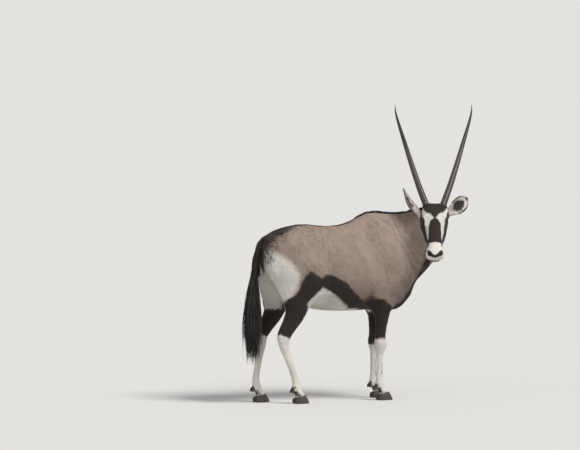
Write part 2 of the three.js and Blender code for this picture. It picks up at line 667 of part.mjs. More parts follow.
const dockRoot = { at: [-462, 0, 1030], side: 34, deep: 34 };
const dock = limb([
  dockRoot,
  { at: [-522, 0, 1000], side: 30, deep: 27 },
  { at: [-560, 3, 925], side: 25, deep: 22 },
  { at: [-573, 7, 820], side: 23, deep: 22 },
  { at: [-578, 9, 720], side: 20, deep: 20 },
  { at: [-582, 10, 620], side: 12, deep: 12 },
], { depth: ahead, blend: 40, steps: 2 });
const dockRise = limb([{ ...dockRoot, side: 42, deep: 38 }, { at: [-498, 0, 1012], side: 30, deep: 27 }],
  { depth: ahead, blend: 40 });
const tailTip = 240; // height of the longest hair
const tailLocks = 22;

// Long hair of the tail, from a third of the way down the dock
function tailHair() {
  return Array.from({ length: tailLocks }, (_, i) => {
    const share = i / (tailLocks - 1);
    const root = dock.samples[Math.round(4 + share * 5)];
    const angle = i * 2.4 + draw(-0.3, 0.3);
    const out = new THREE.Vector3(Math.min(0.1, Math.cos(angle)), Math.sin(angle), 0); // clear of the rump
    const fall = Math.max(220, (root.point.z - tailTip) * (0.5 + 0.5 * share) * draw(0.74, 1));
    const spread = draw(26, 44) * (1 - 0.3 * share);
    const flat = new THREE.Vector3(-out.y, out.x, 0);
    const start = root.point.clone().addScaledVector(out, root.size.x * 0.3);
    return lock([
      start,
      start.clone().addScaledVector(out, spread * 0.8).add(new THREE.Vector3(-6, 0, -fall * 0.25)),
      start.clone().addScaledVector(out, spread * 1.1).add(new THREE.Vector3(-14, 0, -fall * 0.6)),
      start.clone().addScaledVector(out, spread * 0.5).addScaledVector(flat, draw(-14, 14))
        .add(new THREE.Vector3(-4, 0, -fall)),
    ], flat, [12, 21, 15, 1.6], 15);
  });
}

// Short upright mane, along the crest of the neck and the withers

const maneHeight = 27;
const crestLines = [
  { part: hump, from: 2, to: 9.5, count: 15 },
  { part: neck, from: 4, to: 27, count: 40 },
];

function mane() {
  return crestLines.flatMap(({ part, from, to, count }) => Array.from({ length: count }, (_, i) => {
    const at = from + (to - from) * i / (count - 1);
    const a = part.samples[Math.floor(at)];
    const b = part.samples[Math.ceil(at)];
    const crest = (s) => s.point.clone().addScaledVector(s.deepWay, s.size.y);
    const root = crest(a).lerp(crest(b), at % 1);
    const height = maneHeight * draw(0.8, 1.1);
    const rise = a.deepWay.clone().addScaledVector(a.tangent, -0.8).addScaledVector(a.sideWay, draw(-0.2, 0.2));
    return lock([
      root.clone().addScaledVector(a.deepWay, -18),
      root.clone().addScaledVector(rise, height * 0.4),
      root.clone().addScaledVector(rise, height * 0.8).addScaledVector(a.tangent, -height * 0.4),
    ], a.tangent, [17, 15, 2], 15);
  }));
}

// Whole flesh, then its pieces

const bodyParts = [
  trunk, hump, spine, ...hipBones, brisket, neck, dockRise,
  ...legs.flatMap((leg) => [...shoulder(leg), ...foreleg(leg), ...thigh(leg), ...hindleg(leg)]),
  ...feet.flatMap((foot) => dewclaws(foot.x, foot.y)),
];
const bodyField = field(bodyParts);
const upperField = field([neck, trunk, hump]);
const headField = field([...headParts, ...ears.map(earRoot)], headCuts);
const headBlend = 34;
const carried = new THREE.Vector3();

// Neck and head together, seen from the row's frame and from the head's own
const neckFlesh = (point) => smoothLeast(
  bodyField(point), headField(carried.copy(point).applyMatrix4(worldToHead)), headBlend);
const headFlesh = (point) => smoothLeast(
  headField(point), upperField(carried.copy(point).applyMatrix4(headToWorld)), headBlend);

// The head's share of the flesh, in its own frame, with the oblique cut behind the poll and the jaw
const headBlock = sideBlock([[-66, 60], [-66, -50], [62, -214], [400, -214], [400, 60]], -112, 150)
  .applyMatrix4(headToWorld);
const neckCut = { point: new THREE.Vector3(392, 0, 1180), normal: new THREE.Vector3(0.964, 0, 0.266) };
const foreBlock = (side) => sideBlock(
  [[205, -20], [205, 655], [470, 655], [470, -20]], side < 0 ? -300 : 44, side < 0 ? -44 : 300);
const hindBlock = (side) => sideBlock(
  [[-640, -20], [-640, 600], [-526, 600], [-526, 800], [-330, 800], [-118, 735], [-118, -20]],
  side < 0 ? -300 : 26, side < 0 ? -26 : 300);

const model = new THREE.Group();
const colours = { coat: '#a8927f', dark: '#2a211d', horn: '#3b342f', hoof: '#3a2f28', eye: '#120c08', hair: '#1b1816' };

function add(name, solid, colour, roughness = 0.85) {
  const mesh = new THREE.Mesh(
    toGeometry(largest(solid)), new THREE.MeshStandardMaterial({ color: colours[colour], roughness, metalness: 0 }));
  mesh.name = name;
  model.add(mesh);
}

const join = (solids) => wasm.Manifold.union(solids);
const maneHair = mane();

let torso = mould(bodyField, [-560, -290, 520], [560, 290, 1300], 13, 2500);
torso = join([torso, ...maneHair]);
torso = sideOf(torso, neckCut.point, neckCut.normal.clone().negate());
for (const side of [-1, 1]) {
  torso = torso.subtract(toSolid(grown(foreBlock(side)))).subtract(toSolid(grown(hindBlock(side))));
}
add('torso', torso.subtract(tube(dock, 12, seam)), 'coat');

let throat = mould(neckFlesh, [360, -460, 620], [740, 160, 1320], 12, 1500);
throat = sideOf(join([throat, ...maneHair]), neckCut.point, neckCut.normal);
add('neck', throat.subtract(toSolid(grown(headBlock))), 'coat');

for (const leg of legs) {
  for (const [end, low, high, block, count] of [
    ['fore', [190, 20, 0], [490, 270, 680], foreBlock(leg.side), 800],
    ['hind', [-660, 10, 0], [-100, 270, 830], hindBlock(leg.side), 950],
  ]) {
    const mirror = (corner, other) => (leg.side > 0 ? corner : [corner[0], -other[1], corner[2]]);
    const flesh = mould(bodyField, mirror(low, high), mirror(high, low), 8, count);
    const foot = feet.find((f) => f.name === `${end}_${leg.name}`);
    const cut = sideOf(flesh.intersect(toSolid(block)),
      new THREE.Vector3(foot.x, foot.y, coronetHeight(0)), new THREE.Vector3(-coronetSlope, 0, 1));
    add(`${end}leg_${leg.name}`, cut, 'dark');
    for (const [which, inward] of [['outer', leg.side], ['inner', -leg.side]]) {
      add(`hoof_${end}_${leg.name}_${which}`, claw(foot, inward), 'hoof', 0.5);
    }
  }
}

const inHeadFrame = mould(headFlesh, [-75, -124, -225], [372, 124, 40], 3.8, 3000, 2);
let skull = inHeadFrame.transform(headToWorld.elements.slice()).intersect(toSolid(headBlock));
for (const ear of ears) {
  skull = skull.subtract(earRoom(ear).transform(headToWorld.elements.slice()));
  add(ear.name, earShape(ear), 'coat');
}
for (const [name, side] of [['right', -1], ['left', 1]]) {
  skull = skull.subtract(horn(side, seam)).subtract(eyeball(side, seam));
  add(`horn_${name}`, horn(side), 'horn', 0.5);
  add(`eye_${name}`, eyeball(side), 'eye', 0.1);
}
add('head', skull, 'coat');
add('tail', join([tube(dock, 12), ...tailHair()]), 'hair');

model.position.sub(standingMiddle);

export default model;
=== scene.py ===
import bpy
import math
import numpy as np
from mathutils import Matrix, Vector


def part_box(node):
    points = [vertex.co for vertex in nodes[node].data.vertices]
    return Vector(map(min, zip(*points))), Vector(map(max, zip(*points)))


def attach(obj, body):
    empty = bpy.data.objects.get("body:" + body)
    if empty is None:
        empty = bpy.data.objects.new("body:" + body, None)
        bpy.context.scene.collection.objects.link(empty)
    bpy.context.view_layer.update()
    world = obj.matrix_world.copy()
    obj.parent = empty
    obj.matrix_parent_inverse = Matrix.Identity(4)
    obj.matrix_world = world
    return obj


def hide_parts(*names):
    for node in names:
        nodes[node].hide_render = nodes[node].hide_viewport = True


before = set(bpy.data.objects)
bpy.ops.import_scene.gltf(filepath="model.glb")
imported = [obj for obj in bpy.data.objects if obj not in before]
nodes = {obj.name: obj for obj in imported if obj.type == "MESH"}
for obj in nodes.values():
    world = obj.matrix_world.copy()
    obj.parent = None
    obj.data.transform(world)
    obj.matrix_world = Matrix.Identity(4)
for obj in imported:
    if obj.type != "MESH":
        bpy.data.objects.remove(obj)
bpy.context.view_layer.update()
print("frame loaded:", len(nodes), "nodes")

# where the animal stands, in metres: the drawing's own middle, and the head's place and turn
animal = dict(middle=(0.2235, -0.014, 0.0), poll=(0.597, -0.254, 1.248), tilt=35, turn=-115)
middle = np.array(animal["middle"])
tilt, turn = math.radians(animal["tilt"]), math.radians(animal["turn"])
facing = np.array([math.cos(turn), math.sin(turn), 0])
upWay = np.array([0, 0, 1.0])
noseWay = facing * math.sin(tilt) - upWay * math.cos(tilt)
browWay = facing * math.cos(tilt) + upWay * math.sin(tilt)
leftWay = np.cross(browWay, noseWay)
headTurn = np.stack([noseWay, leftWay, browWay])
poll = np.array(animal["poll"]) - middle


def toHead(points):
    return (points - poll) @ headTurn.T


def fromHead(points):
    return np.asarray(points) @ headTurn + poll


def deselect():
    bpy.ops.object.select_all(action="DESELECT")


def pick(*pieces):
    deselect()
    for piece in pieces:
        piece.select_set(True)
    bpy.context.view_layer.objects.active = pieces[0]


def setAll(thing, settings):
    for key, value in settings.items():
        setattr(thing, key, value)


def addModifier(piece, kind, **settings):
    setAll(piece.modifiers.new(kind.title(), kind), settings)


def applyAll(piece):
    pick(piece)
    for modifier in list(piece.modifiers):
        bpy.ops.object.modifier_apply(modifier=modifier.name)


def newest(name):
    # the piece that an operator has just added
    piece = bpy.context.object
    piece.name = name
    return piece


def faceOutward(piece):
    pick(piece)
    bpy.ops.object.mode_set(mode="EDIT")
    bpy.ops.mesh.select_all(action="SELECT")
    bpy.ops.mesh.normals_make_consistent(inside=False)
    bpy.ops.object.mode_set(mode="OBJECT")


def coverWith(piece, material):
    piece.data.materials.clear()
    piece.data.materials.append(material)
    pick(piece)
    bpy.ops.object.shade_smooth()

def copyOf(names, newName):
    # merged copies of CAD nodes, joined in one piece
    pieces = []
    for name in names:
        piece = bpy.data.objects.new(newName, nodes[name].data.copy())
        bpy.context.scene.collection.objects.link(piece)
        pieces.append(piece)
    pick(*pieces)
    if len(pieces) > 1:
        bpy.ops.object.join()
    piece = bpy.context.view_layer.objects.active
    bpy.ops.object.mode_set(mode="EDIT")
    bpy.ops.mesh.select_all(action="SELECT")
    bpy.ops.mesh.remove_doubles(threshold=0.00002)
    bpy.ops.object.mode_set(mode="OBJECT")
    piece.name = newName
    piece.data.materials.clear()
    return piece


def pointsOf(mesh):
    points = np.zeros(len(mesh.vertices) * 3)
    mesh.vertices.foreach_get("co", points)
    return points.reshape(-1, 3)


def normalsOf(mesh):
    normals = np.zeros(len(mesh.vertices) * 3)
    mesh.vertex_normals.foreach_get("vector", normals)
    return normals.reshape(-1, 3)


def putPoints(mesh, points):
    mesh.vertices.foreach_set("co", np.ascontiguousarray(points, dtype=np.float32).ravel())
    mesh.update()


def addField(mesh, name, values):
    field = mesh.attributes.new(name, "FLOAT", "POINT")
    field.data.foreach_set("value", np.asarray(values, dtype=np.float32))


def addMarks(mesh, dark, pale):
    addField(mesh, "darkField", dark)
    addField(mesh, "paleField", pale)


def smoothStep(low, high, value):
    share = np.clip((value - low) / (high - low), 0, 1)
    return share * share * (3 - 2 * share)


def unit(vectors):
    return vectors / np.maximum(np.linalg.norm(vectors, axis=-1, keepdims=True), 1e-9)


def alongLine(line, at, stops=None):
    # places along a line, by node number or by the stops given
    stops = np.arange(len(line)) if stops is None else stops
    return np.stack([np.interp(at, stops, values) for values in line.T], 1)


def insideBy(x, y, corners):
    # how far a place is inside an outline, less than nothing outside
    corners = np.asarray(corners, float)
    nearest = np.full(x.shape, 1e9)
    inside = np.zeros(x.shape, bool)
    for (ax, ay), (bx, by) in zip(corners, np.roll(corners, -1, 0)):
        dx, dy = bx - ax, by - ay
        share = np.clip(((x - ax) * dx + (y - ay) * dy) / (dx * dx + dy * dy), 0, 1)
        nearest = np.minimum(nearest, np.hypot(x - ax - share * dx, y - ay - share * dy))
        crosses = (ay > y) != (by > y)
        inside ^= crosses & (x < dx * (y - ay) / (dy if dy else 1e-9) + ax)
    return np.where(inside, nearest, -nearest)


def awayFrom(points, line):
    # distance to a broken line, and how far along it the nearest place is
    nearest = np.full(len(points), 1e9)
    along = np.zeros(len(points))
    for i, (a, b) in enumerate(zip(line[:-1], line[1:])):
        way = b - a
        share = np.clip(((points - a) @ way) / (way @ way), 0, 1)
        gap = np.linalg.norm(points - a - share[:, None] * way, axis=1)
        along = np.where(gap < nearest, i + share, along)
        nearest = np.minimum(nearest, gap)
    return nearest, along


# neck: middle line and half depth, as in the drawing
neckPlan = np.array([[0.300, 0, 0.900, 0.262], [0.392, -0.006, 0.930, 0.252], [0.470, -0.032, 0.980, 0.218],
                     [0.540, -0.085, 1.042, 0.176], [0.590, -0.150, 1.100, 0.132], [0.606, -0.212, 1.140, 0.098],
                     [0.602, -0.250, 1.160, 0.082]])
neckLine = neckPlan[:, :3] - middle
neckRun = unit(np.gradient(neckLine, axis=0))
neckUp = unit(upWay - neckRun * neckRun[:, 2:])
neckSide = np.cross(neckRun, neckUp)
backNodes = 61
backLine = np.array([[-0.47, 0, 1.05], [-0.25, 0, 1.13], [-0.06, 0, 1.115], [0.15, 0, 1.14], [0.265, 0, 1.185],
                     [0.36, 0.006, 1.18], [0.43, 0.0, 1.18], [0.49, -0.030, 1.18], [0.545, -0.085, 1.20],
                     [0.588, -0.150, 1.225], [0.612, -0.221, 1.240]]) - middle
backLine = alongLine(backLine, np.linspace(0, len(backLine) - 1, backNodes))

# ears: base, way, opening, in the head's own axes
earPlan = dict(length=0.236, thick=0.005, tufts=6500,
               left=dict(base=(0.028, 0.061, -0.074), way=(-0.72, 0.72, -0.18), open=(0.54, 0.14, 0.84),
                         inside=0.006),
               right=dict(base=(0.028, -0.061, -0.074), way=(-0.74, -0.66, 0.10), open=(0.74, -0.75, -0.14),
                          inside=-0.004))
nostrilLine = np.array([[0.303, 0.044, -0.054], [0.322, 0.034, -0.056], [0.335, 0.014, -0.063], [0.339, 0, -0.067]])
mouthLine = np.array([[0.240, 0.049, -0.102], [0.285, 0.049, -0.105], [0.318, 0.044, -0.106], [0.336, 0.026, -0.106],
                      [0.343, 0, -0.106]])
eyePlan = dict(at=(0.106, 0.065, -0.038), out=(0.3, 0.92, 0.24), radius=0.019)

# markings, as outlines in side view (ahead, up) from the drawing's middle
markings = dict(
    flank=[(-0.20, 0.772), (-0.165, 0.812), (-0.139, 0.830), (-0.097, 0.829), (-0.012, 0.776), (0.045, 0.716),
           (0.115, 0.662), (0.20, 0.615), (0.30, 0.62), (0.30, 0.50), (0.12, 0.54), (0.0306, 0.6197),
           (-0.0686, 0.6936), (-0.1536, 0.748)],
    thigh=[(-0.15, 0.79), (-0.20, 0.822), (-0.272, 0.862), (-0.300, 0.784), (-0.336, 0.711), (-0.3995, 0.665),
           (-0.46, 0.59), (-0.49, 0.50), (-0.50, 0.470), (-0.33, 0.408), (-0.265, 0.53), (-0.243, 0.60),
           (-0.258, 0.650), (-0.235, 0.675), (-0.20, 0.708), (-0.165, 0.738)],
    foreleg=[(0.13, 0.60), (0.17, 0.63), (0.19, 0.655), (0.25, 0.668), (0.30, 0.645), (0.335, 0.610),
             (0.37, 0.60), (0.42, 0.56), (0.42, 0.405), (0.20, 0.395), (0.19, 0.52), (0.14, 0.56)],
    elbow=[(0.12, 0.60), (0.160, 0.660), (0.176, 0.728), (0.186, 0.728), (0.208, 0.670), (0.26, 0.60)],
    brisket=[(0.34, 0.48), (0.355, 0.590), (0.42, 0.618), (0.465, 0.645), (0.52, 0.695), (0.62, 0.72), (0.62, 0.48)],
    belly=[(-0.30, 0.60), (-0.196, 0.772), (-0.1536, 0.754), (-0.0686, 0.6936), (0.0306, 0.6197), (0.20, 0.595),
           (0.30, 0.60), (0.30, 0.40), (-0.30, 0.40)],
    buttock=[(-0.60, 1.00), (-0.47, 0.985), (-0.40, 0.93), (-0.32, 0.84), (-0.33, 0.72), (-0.3995, 0.66),
             (-0.47, 0.57), (-0.60, 0.45)],
    nosePad=[(-0.01, 0.313), (0.010, 0.309), (0.022, 0.295), (0.031, 0.284), (0.043, 0.282), (0.050, 0.292),
             (0.0505, 0.306), (0.044, 0.317), (0.030, 0.321), (0.016, 0.326), (-0.01, 0.329)],
    forehead=[(-0.09, -0.01), (-0.09, 0.11), (-0.02, 0.10), (0.010, 0.076), (0.045, 0.055), (0.062, 0.026),
              (0.092, 0.004), (0.092, -0.01)],
    blaze=[(0.086, -0.01), (0.086, 0.003), (0.096, 0.012), (0.110, 0.028), (0.134, 0.037), (0.190, 0.041),
           (0.248, 0.045), (0.248, -0.01)],
    cheek=[(-0.010, -0.050), (0.025, -0.028), (0.060, -0.012), (0.10, 0.006), (0.17, -0.002), (0.235, -0.010),
           (0.285, -0.066), (0.280, -0.104), (0.20, -0.100), (0.12, -0.096), (0.06, -0.088), (0.02, -0.070)],
)
# half widths and heights of the narrower markings; the left hind leg stands further back, and the left foreleg
# further on and is black further down
markSizes = dict(flankFrom=0.10, hindShift=-0.062, foreShift=0.020, foreLower=0.052, spine=0.0085, throat=0.026,
                 throatAside=0.024, croupFrom=0.905, croupSoft=0.18, underTail=0.026, underTailAt=0.895,
                 cannon=0.050, cannonAt=0.195, fetlock=0.028, fetlockAt=0.078, hindStocking=0.475, foreStocking=0.40,
                 bridge=0.008, bridgeAt=0.246, nostril=0.0075, lips=0.0034, lipsAt=0.352, mouth=0.0065,
                 eyeRing=0.028, jaw=0.012, faceSharp=1.9, limit=0.06)


def headShareAt(points):
    # more than nothing on the head, less on the neck behind it
    hx, hy, hz = toHead(points).T
    under = np.interp(hx, [-0.06, 0.0, 0.08, 0.138, 0.204, 0.27, 0.35],
                      [-0.085, -0.120, -0.172, -0.180, -0.162, -0.152, -0.152])
    wide = np.interp(hx, [0, 0.10, 0.155, 0.21, 0.27, 0.35], [0.092, 0.096, 0.084, 0.068, 0.062, 0.064])
    inside = np.minimum(hz - under, wide - np.abs(hy))
    return np.minimum(inside, np.minimum(hx + 0.075, 0.40 - hx))


def fieldsAt(points, normals):
    # how far inside the black and the white of the coat each place is, in metres
    sizes = markSizes
    x, y, z = (points + middle).T
    hx, hy, hz = toHead(points).T
    side, left = np.abs(y), y > 0
    outer = normals[:, 1] * np.sign(y)
    outside = np.where(z < 0.74, np.minimum((outer + 0.12) * 0.05, side - 0.055), side - 0.06)

    def inMark(name, ahead, up):
        return insideBy(ahead, up, markings[name])

    def within(size, distance):
        return sizes[size] - np.abs(distance)

    def wrapped(spare, height):
        return np.maximum(np.minimum(outside + spare, 0.05), np.minimum(height - z, 0.05))

    flank = np.minimum(inMark("flank", x, z), side - sizes["flankFrom"])
    hindX = x - np.where(left, sizes["hindShift"], 0.0) * np.clip((0.86 - z) / 0.42, 0, 1)
    thigh = np.minimum(inMark("thigh", hindX, z), np.maximum(wrapped(0, 0.60), (hindX + 0.30) * 0.4))
    foreX = x - np.where(left, sizes["foreShift"], 0.0)
    lower = z + np.where(left, sizes["foreLower"], 0.0) * smoothStep(0.56, 0.44, z)
    foreleg = np.minimum(inMark("foreleg", foreX, lower), wrapped(0.012, 0.56))
    elbow = np.minimum(inMark("elbow", foreX, z), side - 0.05)
    brisket = np.minimum(inMark("brisket", x, z), 0.095 - side)
    along = awayFrom(points, neckLine)[1]
    axis, sideways, upward = (alongLine(values, along) for values in (neckLine, neckSide, neckUp))
    nearSide, above = (np.sum((points - axis) * way, axis=1) for way in (sideways, upward))
    throat = np.where((above < 0) & (x > 0.44), within("throat", nearSide - sizes["throatAside"]), -0.1)
    flatPoints, flatLine = points.copy(), backLine.copy()
    flatPoints[:, 2] = flatLine[:, 2] = 0
    spine = np.where((z > 0.98) & (normals[:, 2] > 0.1), within("spine", awayFrom(flatPoints, flatLine)[0]), -0.1)
    croupWide = np.interp(x, [-0.52, -0.46, -0.40, -0.33, -0.26], [0.095, 0.120, 0.112, 0.070, 0.005])
    croup = np.minimum(croupWide - side, (z - sizes["croupFrom"]) * 1.6)
    croup = np.where(x < -0.22, croup * sizes["croupSoft"], -0.1)
    underTail = np.minimum(within("underTail", side), np.minimum(-0.47 - x, 0.040 - np.abs(z - sizes["underTailAt"])))
    cannon = np.minimum(within("cannon", z - sizes["cannonAt"]), (normals[:, 0] - 0.5) * 0.02)
    cannon = np.where(x > 0, cannon, -0.1)
    fetlock = np.minimum(within("fetlock", z - sizes["fetlockAt"]), -normals[:, 0] * 0.02 - 0.008)
    dark = np.max([flank, thigh, foreleg, elbow, brisket, spine, croup, underTail, cannon, fetlock, throat], axis=0)

    stocking = np.where(x < 0, sizes["hindStocking"], sizes["foreStocking"]) - z
    innerLeg = np.where(z < np.where(x < -0.2, 0.84, 0.66), 0.04 * (0.1 - outer), -0.1)
    belly = np.maximum(inMark("belly", x, z), np.where((z < 0.66) & (np.abs(x) < 0.33), 0.10 - side, -0.1))
    buttock = np.minimum(inMark("buttock", hindX, z), side - 0.02)
    pale = np.max([stocking, innerLeg, belly, buttock * 0.6], axis=0)

    front = hz + 0.075
    headY = np.abs(hy)
    forehead = np.minimum(inMark("forehead", hx, headY), front + 0.02)
    blaze = np.minimum(inMark("blaze", hx, headY), front)
    stripeEdge = np.interp(hx, [0.0, 0.066, 0.092, 0.126, 0.169, 0.2125, 0.24],
                           [0.085, 0.076, 0.066, 0.061, 0.0575, 0.0545, 0.046])
    cheek = np.minimum(inMark("cheek", hx, hz), np.maximum(headY - stripeEdge, -0.046 - hz))
    bridge = np.minimum(within("bridge", hx - sizes["bridgeAt"]), hz + 0.085)
    mirrored = np.stack([hx, headY, hz], 1)
    down = 0.857 * hx - 0.515 * hz  # as the photo's camera sees the face
    nosePad = np.minimum(inMark("nosePad", headY, down), hx - 0.285)
    nostril = within("nostril", awayFrom(mirrored, nostrilLine)[0])
    lips = np.where((headY < 0.042) & (hx > 0.27), within("lips", down - sizes["lipsAt"] + 0.13 * headY), -0.1)
    mouth = np.maximum(lips, within("mouth", awayFrom(mirrored, mouthLine)[0]))
    eyeRing = within("eyeRing", np.linalg.norm(mirrored - np.array(eyePlan["at"]), axis=1))
    jaw = np.minimum(within("jaw", headY), np.minimum(0.20 - hx, -0.12 - hz))
    nape = -0.045 - hx
    faceDark = np.max([forehead, blaze, cheek, bridge, nosePad, nostril, mouth, eyeRing, jaw, nape], axis=0)
    share = smoothStep(-0.006, 0.006, headShareAt(points))
    dark = dark * (1 - share) + faceDark * sizes["faceSharp"] * share
    facePale = np.clip(np.maximum(hz + 0.105, (hx - 0.205) * 0.6), -0.03, 0.03)
    pale = pale * (1 - share) + share * facePale
    return (np.clip(field, -sizes["limit"], sizes["limit"]) for field in (dark, pale))


def lieAt(points):
    # the way the coat lies, before it is laid on the surface
    x, y, z = (points + middle).T
    whichSide = np.sign(toHead(points)[:, 1:2])
    way = np.tile(np.array([-1.0, 0, -0.35]), (len(points), 1))
    way[:, 2] -= 1.2 * smoothStep(0.85, 0.6, z)
    run = alongLine(neckRun, awayFrom(points, neckLine)[1])
    neckShare = smoothStep(0.40, 0.52, x)[:, None]
    way = way * (1 - neckShare) + (-run - 0.35 * upWay) * neckShare
    legShare = smoothStep(0.70, 0.56, z)[:, None]
    way = way * (1 - legShare) + np.array([-0.08, 0, -1.0]) * legShare
    headShare = smoothStep(-0.02, 0.02, headShareAt(points))[:, None]
    back = -noseWay + whichSide * leftWay * 0.25 - browWay * 0.3
    way = way * (1 - headShare) + back * headShare
    return unit(way)


# materials
# the darker second fawn is painted shade, for the lower body
tones = dict(fawn=(0.300, 0.228, 0.182), fawnPaintedShade=(0.235, 0.183, 0.152), white=(0.60, 0.565, 0.51),
             black=(0.027, 0.019, 0.016), horn=(0.018, 0.016, 0.015), hornWorn=(0.080, 0.068, 0.058),
             hoof=(0.038, 0.031, 0.027), eye=(0.006, 0.004, 0.003), iris=(0.022, 0.010, 0.005),
             hair=(0.012, 0.010, 0.010))
# painted shade on the fawn: full below the lower of its two heights, none above the higher one
coatLook = dict(strands=520, strandStretch=(0.35, 1, 0.55), broad=7, fine=90, wander=24, paintedShadeFullBelow=0.6, paintedShadeNoneAbove=1.1,
                mottle=(0.86, 1.12), grain=(0.82, 1.16), paleEdge=0.014, darkEdge=0.006, roughness=0.72,
                specular=0.18, sheen=0.12, sheenRoughness=0.45)


def newMaterial(name, roughness, specular):
    material = bpy.data.materials.new(name)
    material.use_nodes = True
    shader = material.node_tree.nodes["Principled BSDF"]
    shader.inputs["Roughness"].default_value = roughness
    shader.inputs["Specular IOR Level"].default_value = specular
    return material, material.node_tree, shader


def addNode(tree, kind, inputs={}, **settings):
    # a shader node with its settings, and each input either linked or given a value
    node = tree.nodes.new("ShaderNode" + kind)
    setAll(node, settings)
    for key, value in inputs.items():
        if isinstance(value, bpy.types.NodeSocket):
            tree.links.new(value, node.inputs[key])
        else:
            node.inputs[key].default_value = value
    return node


def mixColours(tree, share, *colours):
    first, second = (value if isinstance(value, bpy.types.NodeSocket) else (*value, 1) for value in colours)
    return addNode(tree, "Mix", {0: share, 6: first, 7: second}, data_type="RGBA").outputs[2]


def fieldOf(tree, name):
    return addNode(tree, "Attribute", attribute_name=name).outputs["Fac"]


def addBump(tree, shader, height, strength, depth):
    bump = addNode(tree, "Bump", {"Strength": strength, "Distance": depth, "Height": height})
    tree.links.new(bump.outputs["Normal"], shader.inputs["Normal"])


def buildCoatGroup():
    # markings from the fields on the piece, with ragged edges and mottled tone, over a fawn painted darker lower on the
    # body as painted shade
    group = bpy.data.node_groups.new("coatMarkings", "ShaderNodeTree")
    for socket in ("Dark", "Pale", "Ragged"):
        group.interface.new_socket(socket, in_out="INPUT", socket_type="NodeSocketFloat")
    group.interface.new_socket("Colour", in_out="OUTPUT", socket_type="NodeSocketColor")
    group.interface.new_socket("Height", in_out="OUTPUT", socket_type="NodeSocketFloat")
    inputs, outputs = group.nodes.new("NodeGroupInput"), group.nodes.new("NodeGroupOutput")
    place = addNode(group, "TexCoord").outputs["Object"]
    stretched = addNode(group, "Mapping", {"Scale": coatLook["strandStretch"], "Vector": place}).outputs["Vector"]

    def noise(scale, detail, vector=place):
        return addNode(group, "TexNoise", {"Scale": coatLook[scale], "Detail": detail, "Vector": vector}).outputs["Fac"]

    def combine(operation, first, second):
        return addNode(group, "Math", {0: first, 1: second}, operation=operation).outputs[0]

    def spanOf(value, low, high, least=0, most=1, way="LINEAR"):
        limits = {"Value": value, "From Min": low, "From Max": high, "To Min": least, "To Max": most}
        return addNode(group, "MapRange", limits, interpolation_type=way).outputs["Result"]

    strands = noise("strands", 2, stretched)
    jitter = combine("SUBTRACT", combine("ADD", noise("fine", 4), noise("wander", 1)), 1.0)
    ragged = combine("MULTIPLY", jitter, inputs.outputs["Ragged"])

    def edgeOf(field, width):
        return spanOf(combine("ADD", inputs.outputs[field], ragged), -width, width, way="SMOOTHSTEP")

    height = addNode(group, "SeparateXYZ", {0: place}).outputs["Z"]
    # painted shade: the fawn is painted darker lower on the body, blending up between the two heights
    fawnWithPaintedShade = mixColours(group, spanOf(height, coatLook["paintedShadeFullBelow"], coatLook["paintedShadeNoneAbove"]), tones["fawnPaintedShade"], tones["fawn"])
    shade = combine("MULTIPLY", spanOf(noise("broad", 3), 0.3, 0.7, *coatLook["mottle"]),
                    spanOf(strands, 0.3, 0.7, *coatLook["grain"]))
    pale = mixColours(group, edgeOf("Pale", coatLook["paleEdge"]), fawnWithPaintedShade, tones["white"])
    shaded = addNode(group, "VectorMath", {0: pale, "Scale": shade}, operation="SCALE").outputs[0]
    dark = mixColours(group, edgeOf("Dark", coatLook["darkEdge"]), shaded, tones["black"])
    group.links.new(dark, outputs.inputs["Colour"])
    group.links.new(strands, outputs.inputs["Height"])
    return group


coatGroup = buildCoatGroup()


def coatMaterial(name, bumpDepth, ragged):
    material, tree, shader = newMaterial(name, coatLook["roughness"], coatLook["specular"])
    shader.inputs["Sheen Weight"].default_value = coatLook["sheen"]
    shader.inputs["Sheen Roughness"].default_value = coatLook["sheenRoughness"]
    fields = {"Dark": fieldOf(tree, "darkField"), "Pale": fieldOf(tree, "paleField"), "Ragged": ragged}
    fur = addNode(tree, "Group", fields, node_tree=coatGroup)
    tree.links.new(fur.outputs["Colour"], shader.inputs["Base Color"])
    addBump(tree, shader, fur.outputs["Height"], 0.5, bumpDepth)
    return material


def grainedMaterial(name, colour, roughness, specular, grainScale, grainDepth, stretch):
    material, tree, shader = newMaterial(name, roughness, specular)
    base = shader.inputs["Base Color"]
    base.default_value = (*tones[colour], 1)
    place = addNode(tree, "TexCoord").outputs["Object"]
    mapping = addNode(tree, "Mapping", {"Scale": stretch, "Vector": place}).outputs["Vector"]
    grain = addNode(tree, "TexNoise", {"Scale": grainScale, "Detail": 4, "Vector": mapping}).outputs["Fac"]
    addBump(tree, shader, grain, 0.6, grainDepth)
    lighter = tuple(min(1, part * 1.9) for part in tones[colour])
    tree.links.new(mixColours(tree, grain, tones[colour], lighter), base)
    return material, tree, base


skinCoat = coatMaterial("shortCoat", bumpDepth=0.0012, ragged=0.018)
tuftCoat = coatMaterial("coatTufts", bumpDepth=0.0004, ragged=0.014)
hornMaterial, hornTree, hornBase = grainedMaterial("horn", "horn", 0.36, 0.45, 260, 0.0004, (1, 1, 0.12))
worn = mixColours(hornTree, fieldOf(hornTree, "ridgeField"), hornBase.links[0].from_socket, tones["hornWorn"])
hornTree.links.new(worn, hornBase)
hoofMaterial = grainedMaterial("hoof", "hoof", 0.5, 0.35, 150, 0.0008, (0.25, 0.25, 1.3))[0]
hairMaterial = grainedMaterial("longHair", "hair", 0.5, 0.35, 220, 0.0004, (1, 1, 0.1))[0]
eyeMaterial, eyeTree, eyeShader = newMaterial("eye", 0.06, 0.6)
eyeTree.links.new(mixColours(eyeTree, fieldOf(eyeTree, "irisField"), tones["eye"], tones["iris"]),
                  eyeShader.inputs["Base Color"])
eyeShader.inputs["Coat Weight"].default_value = 0.5
eyeShader.inputs["Coat Roughness"].default_value = 0.03
print("materials made")


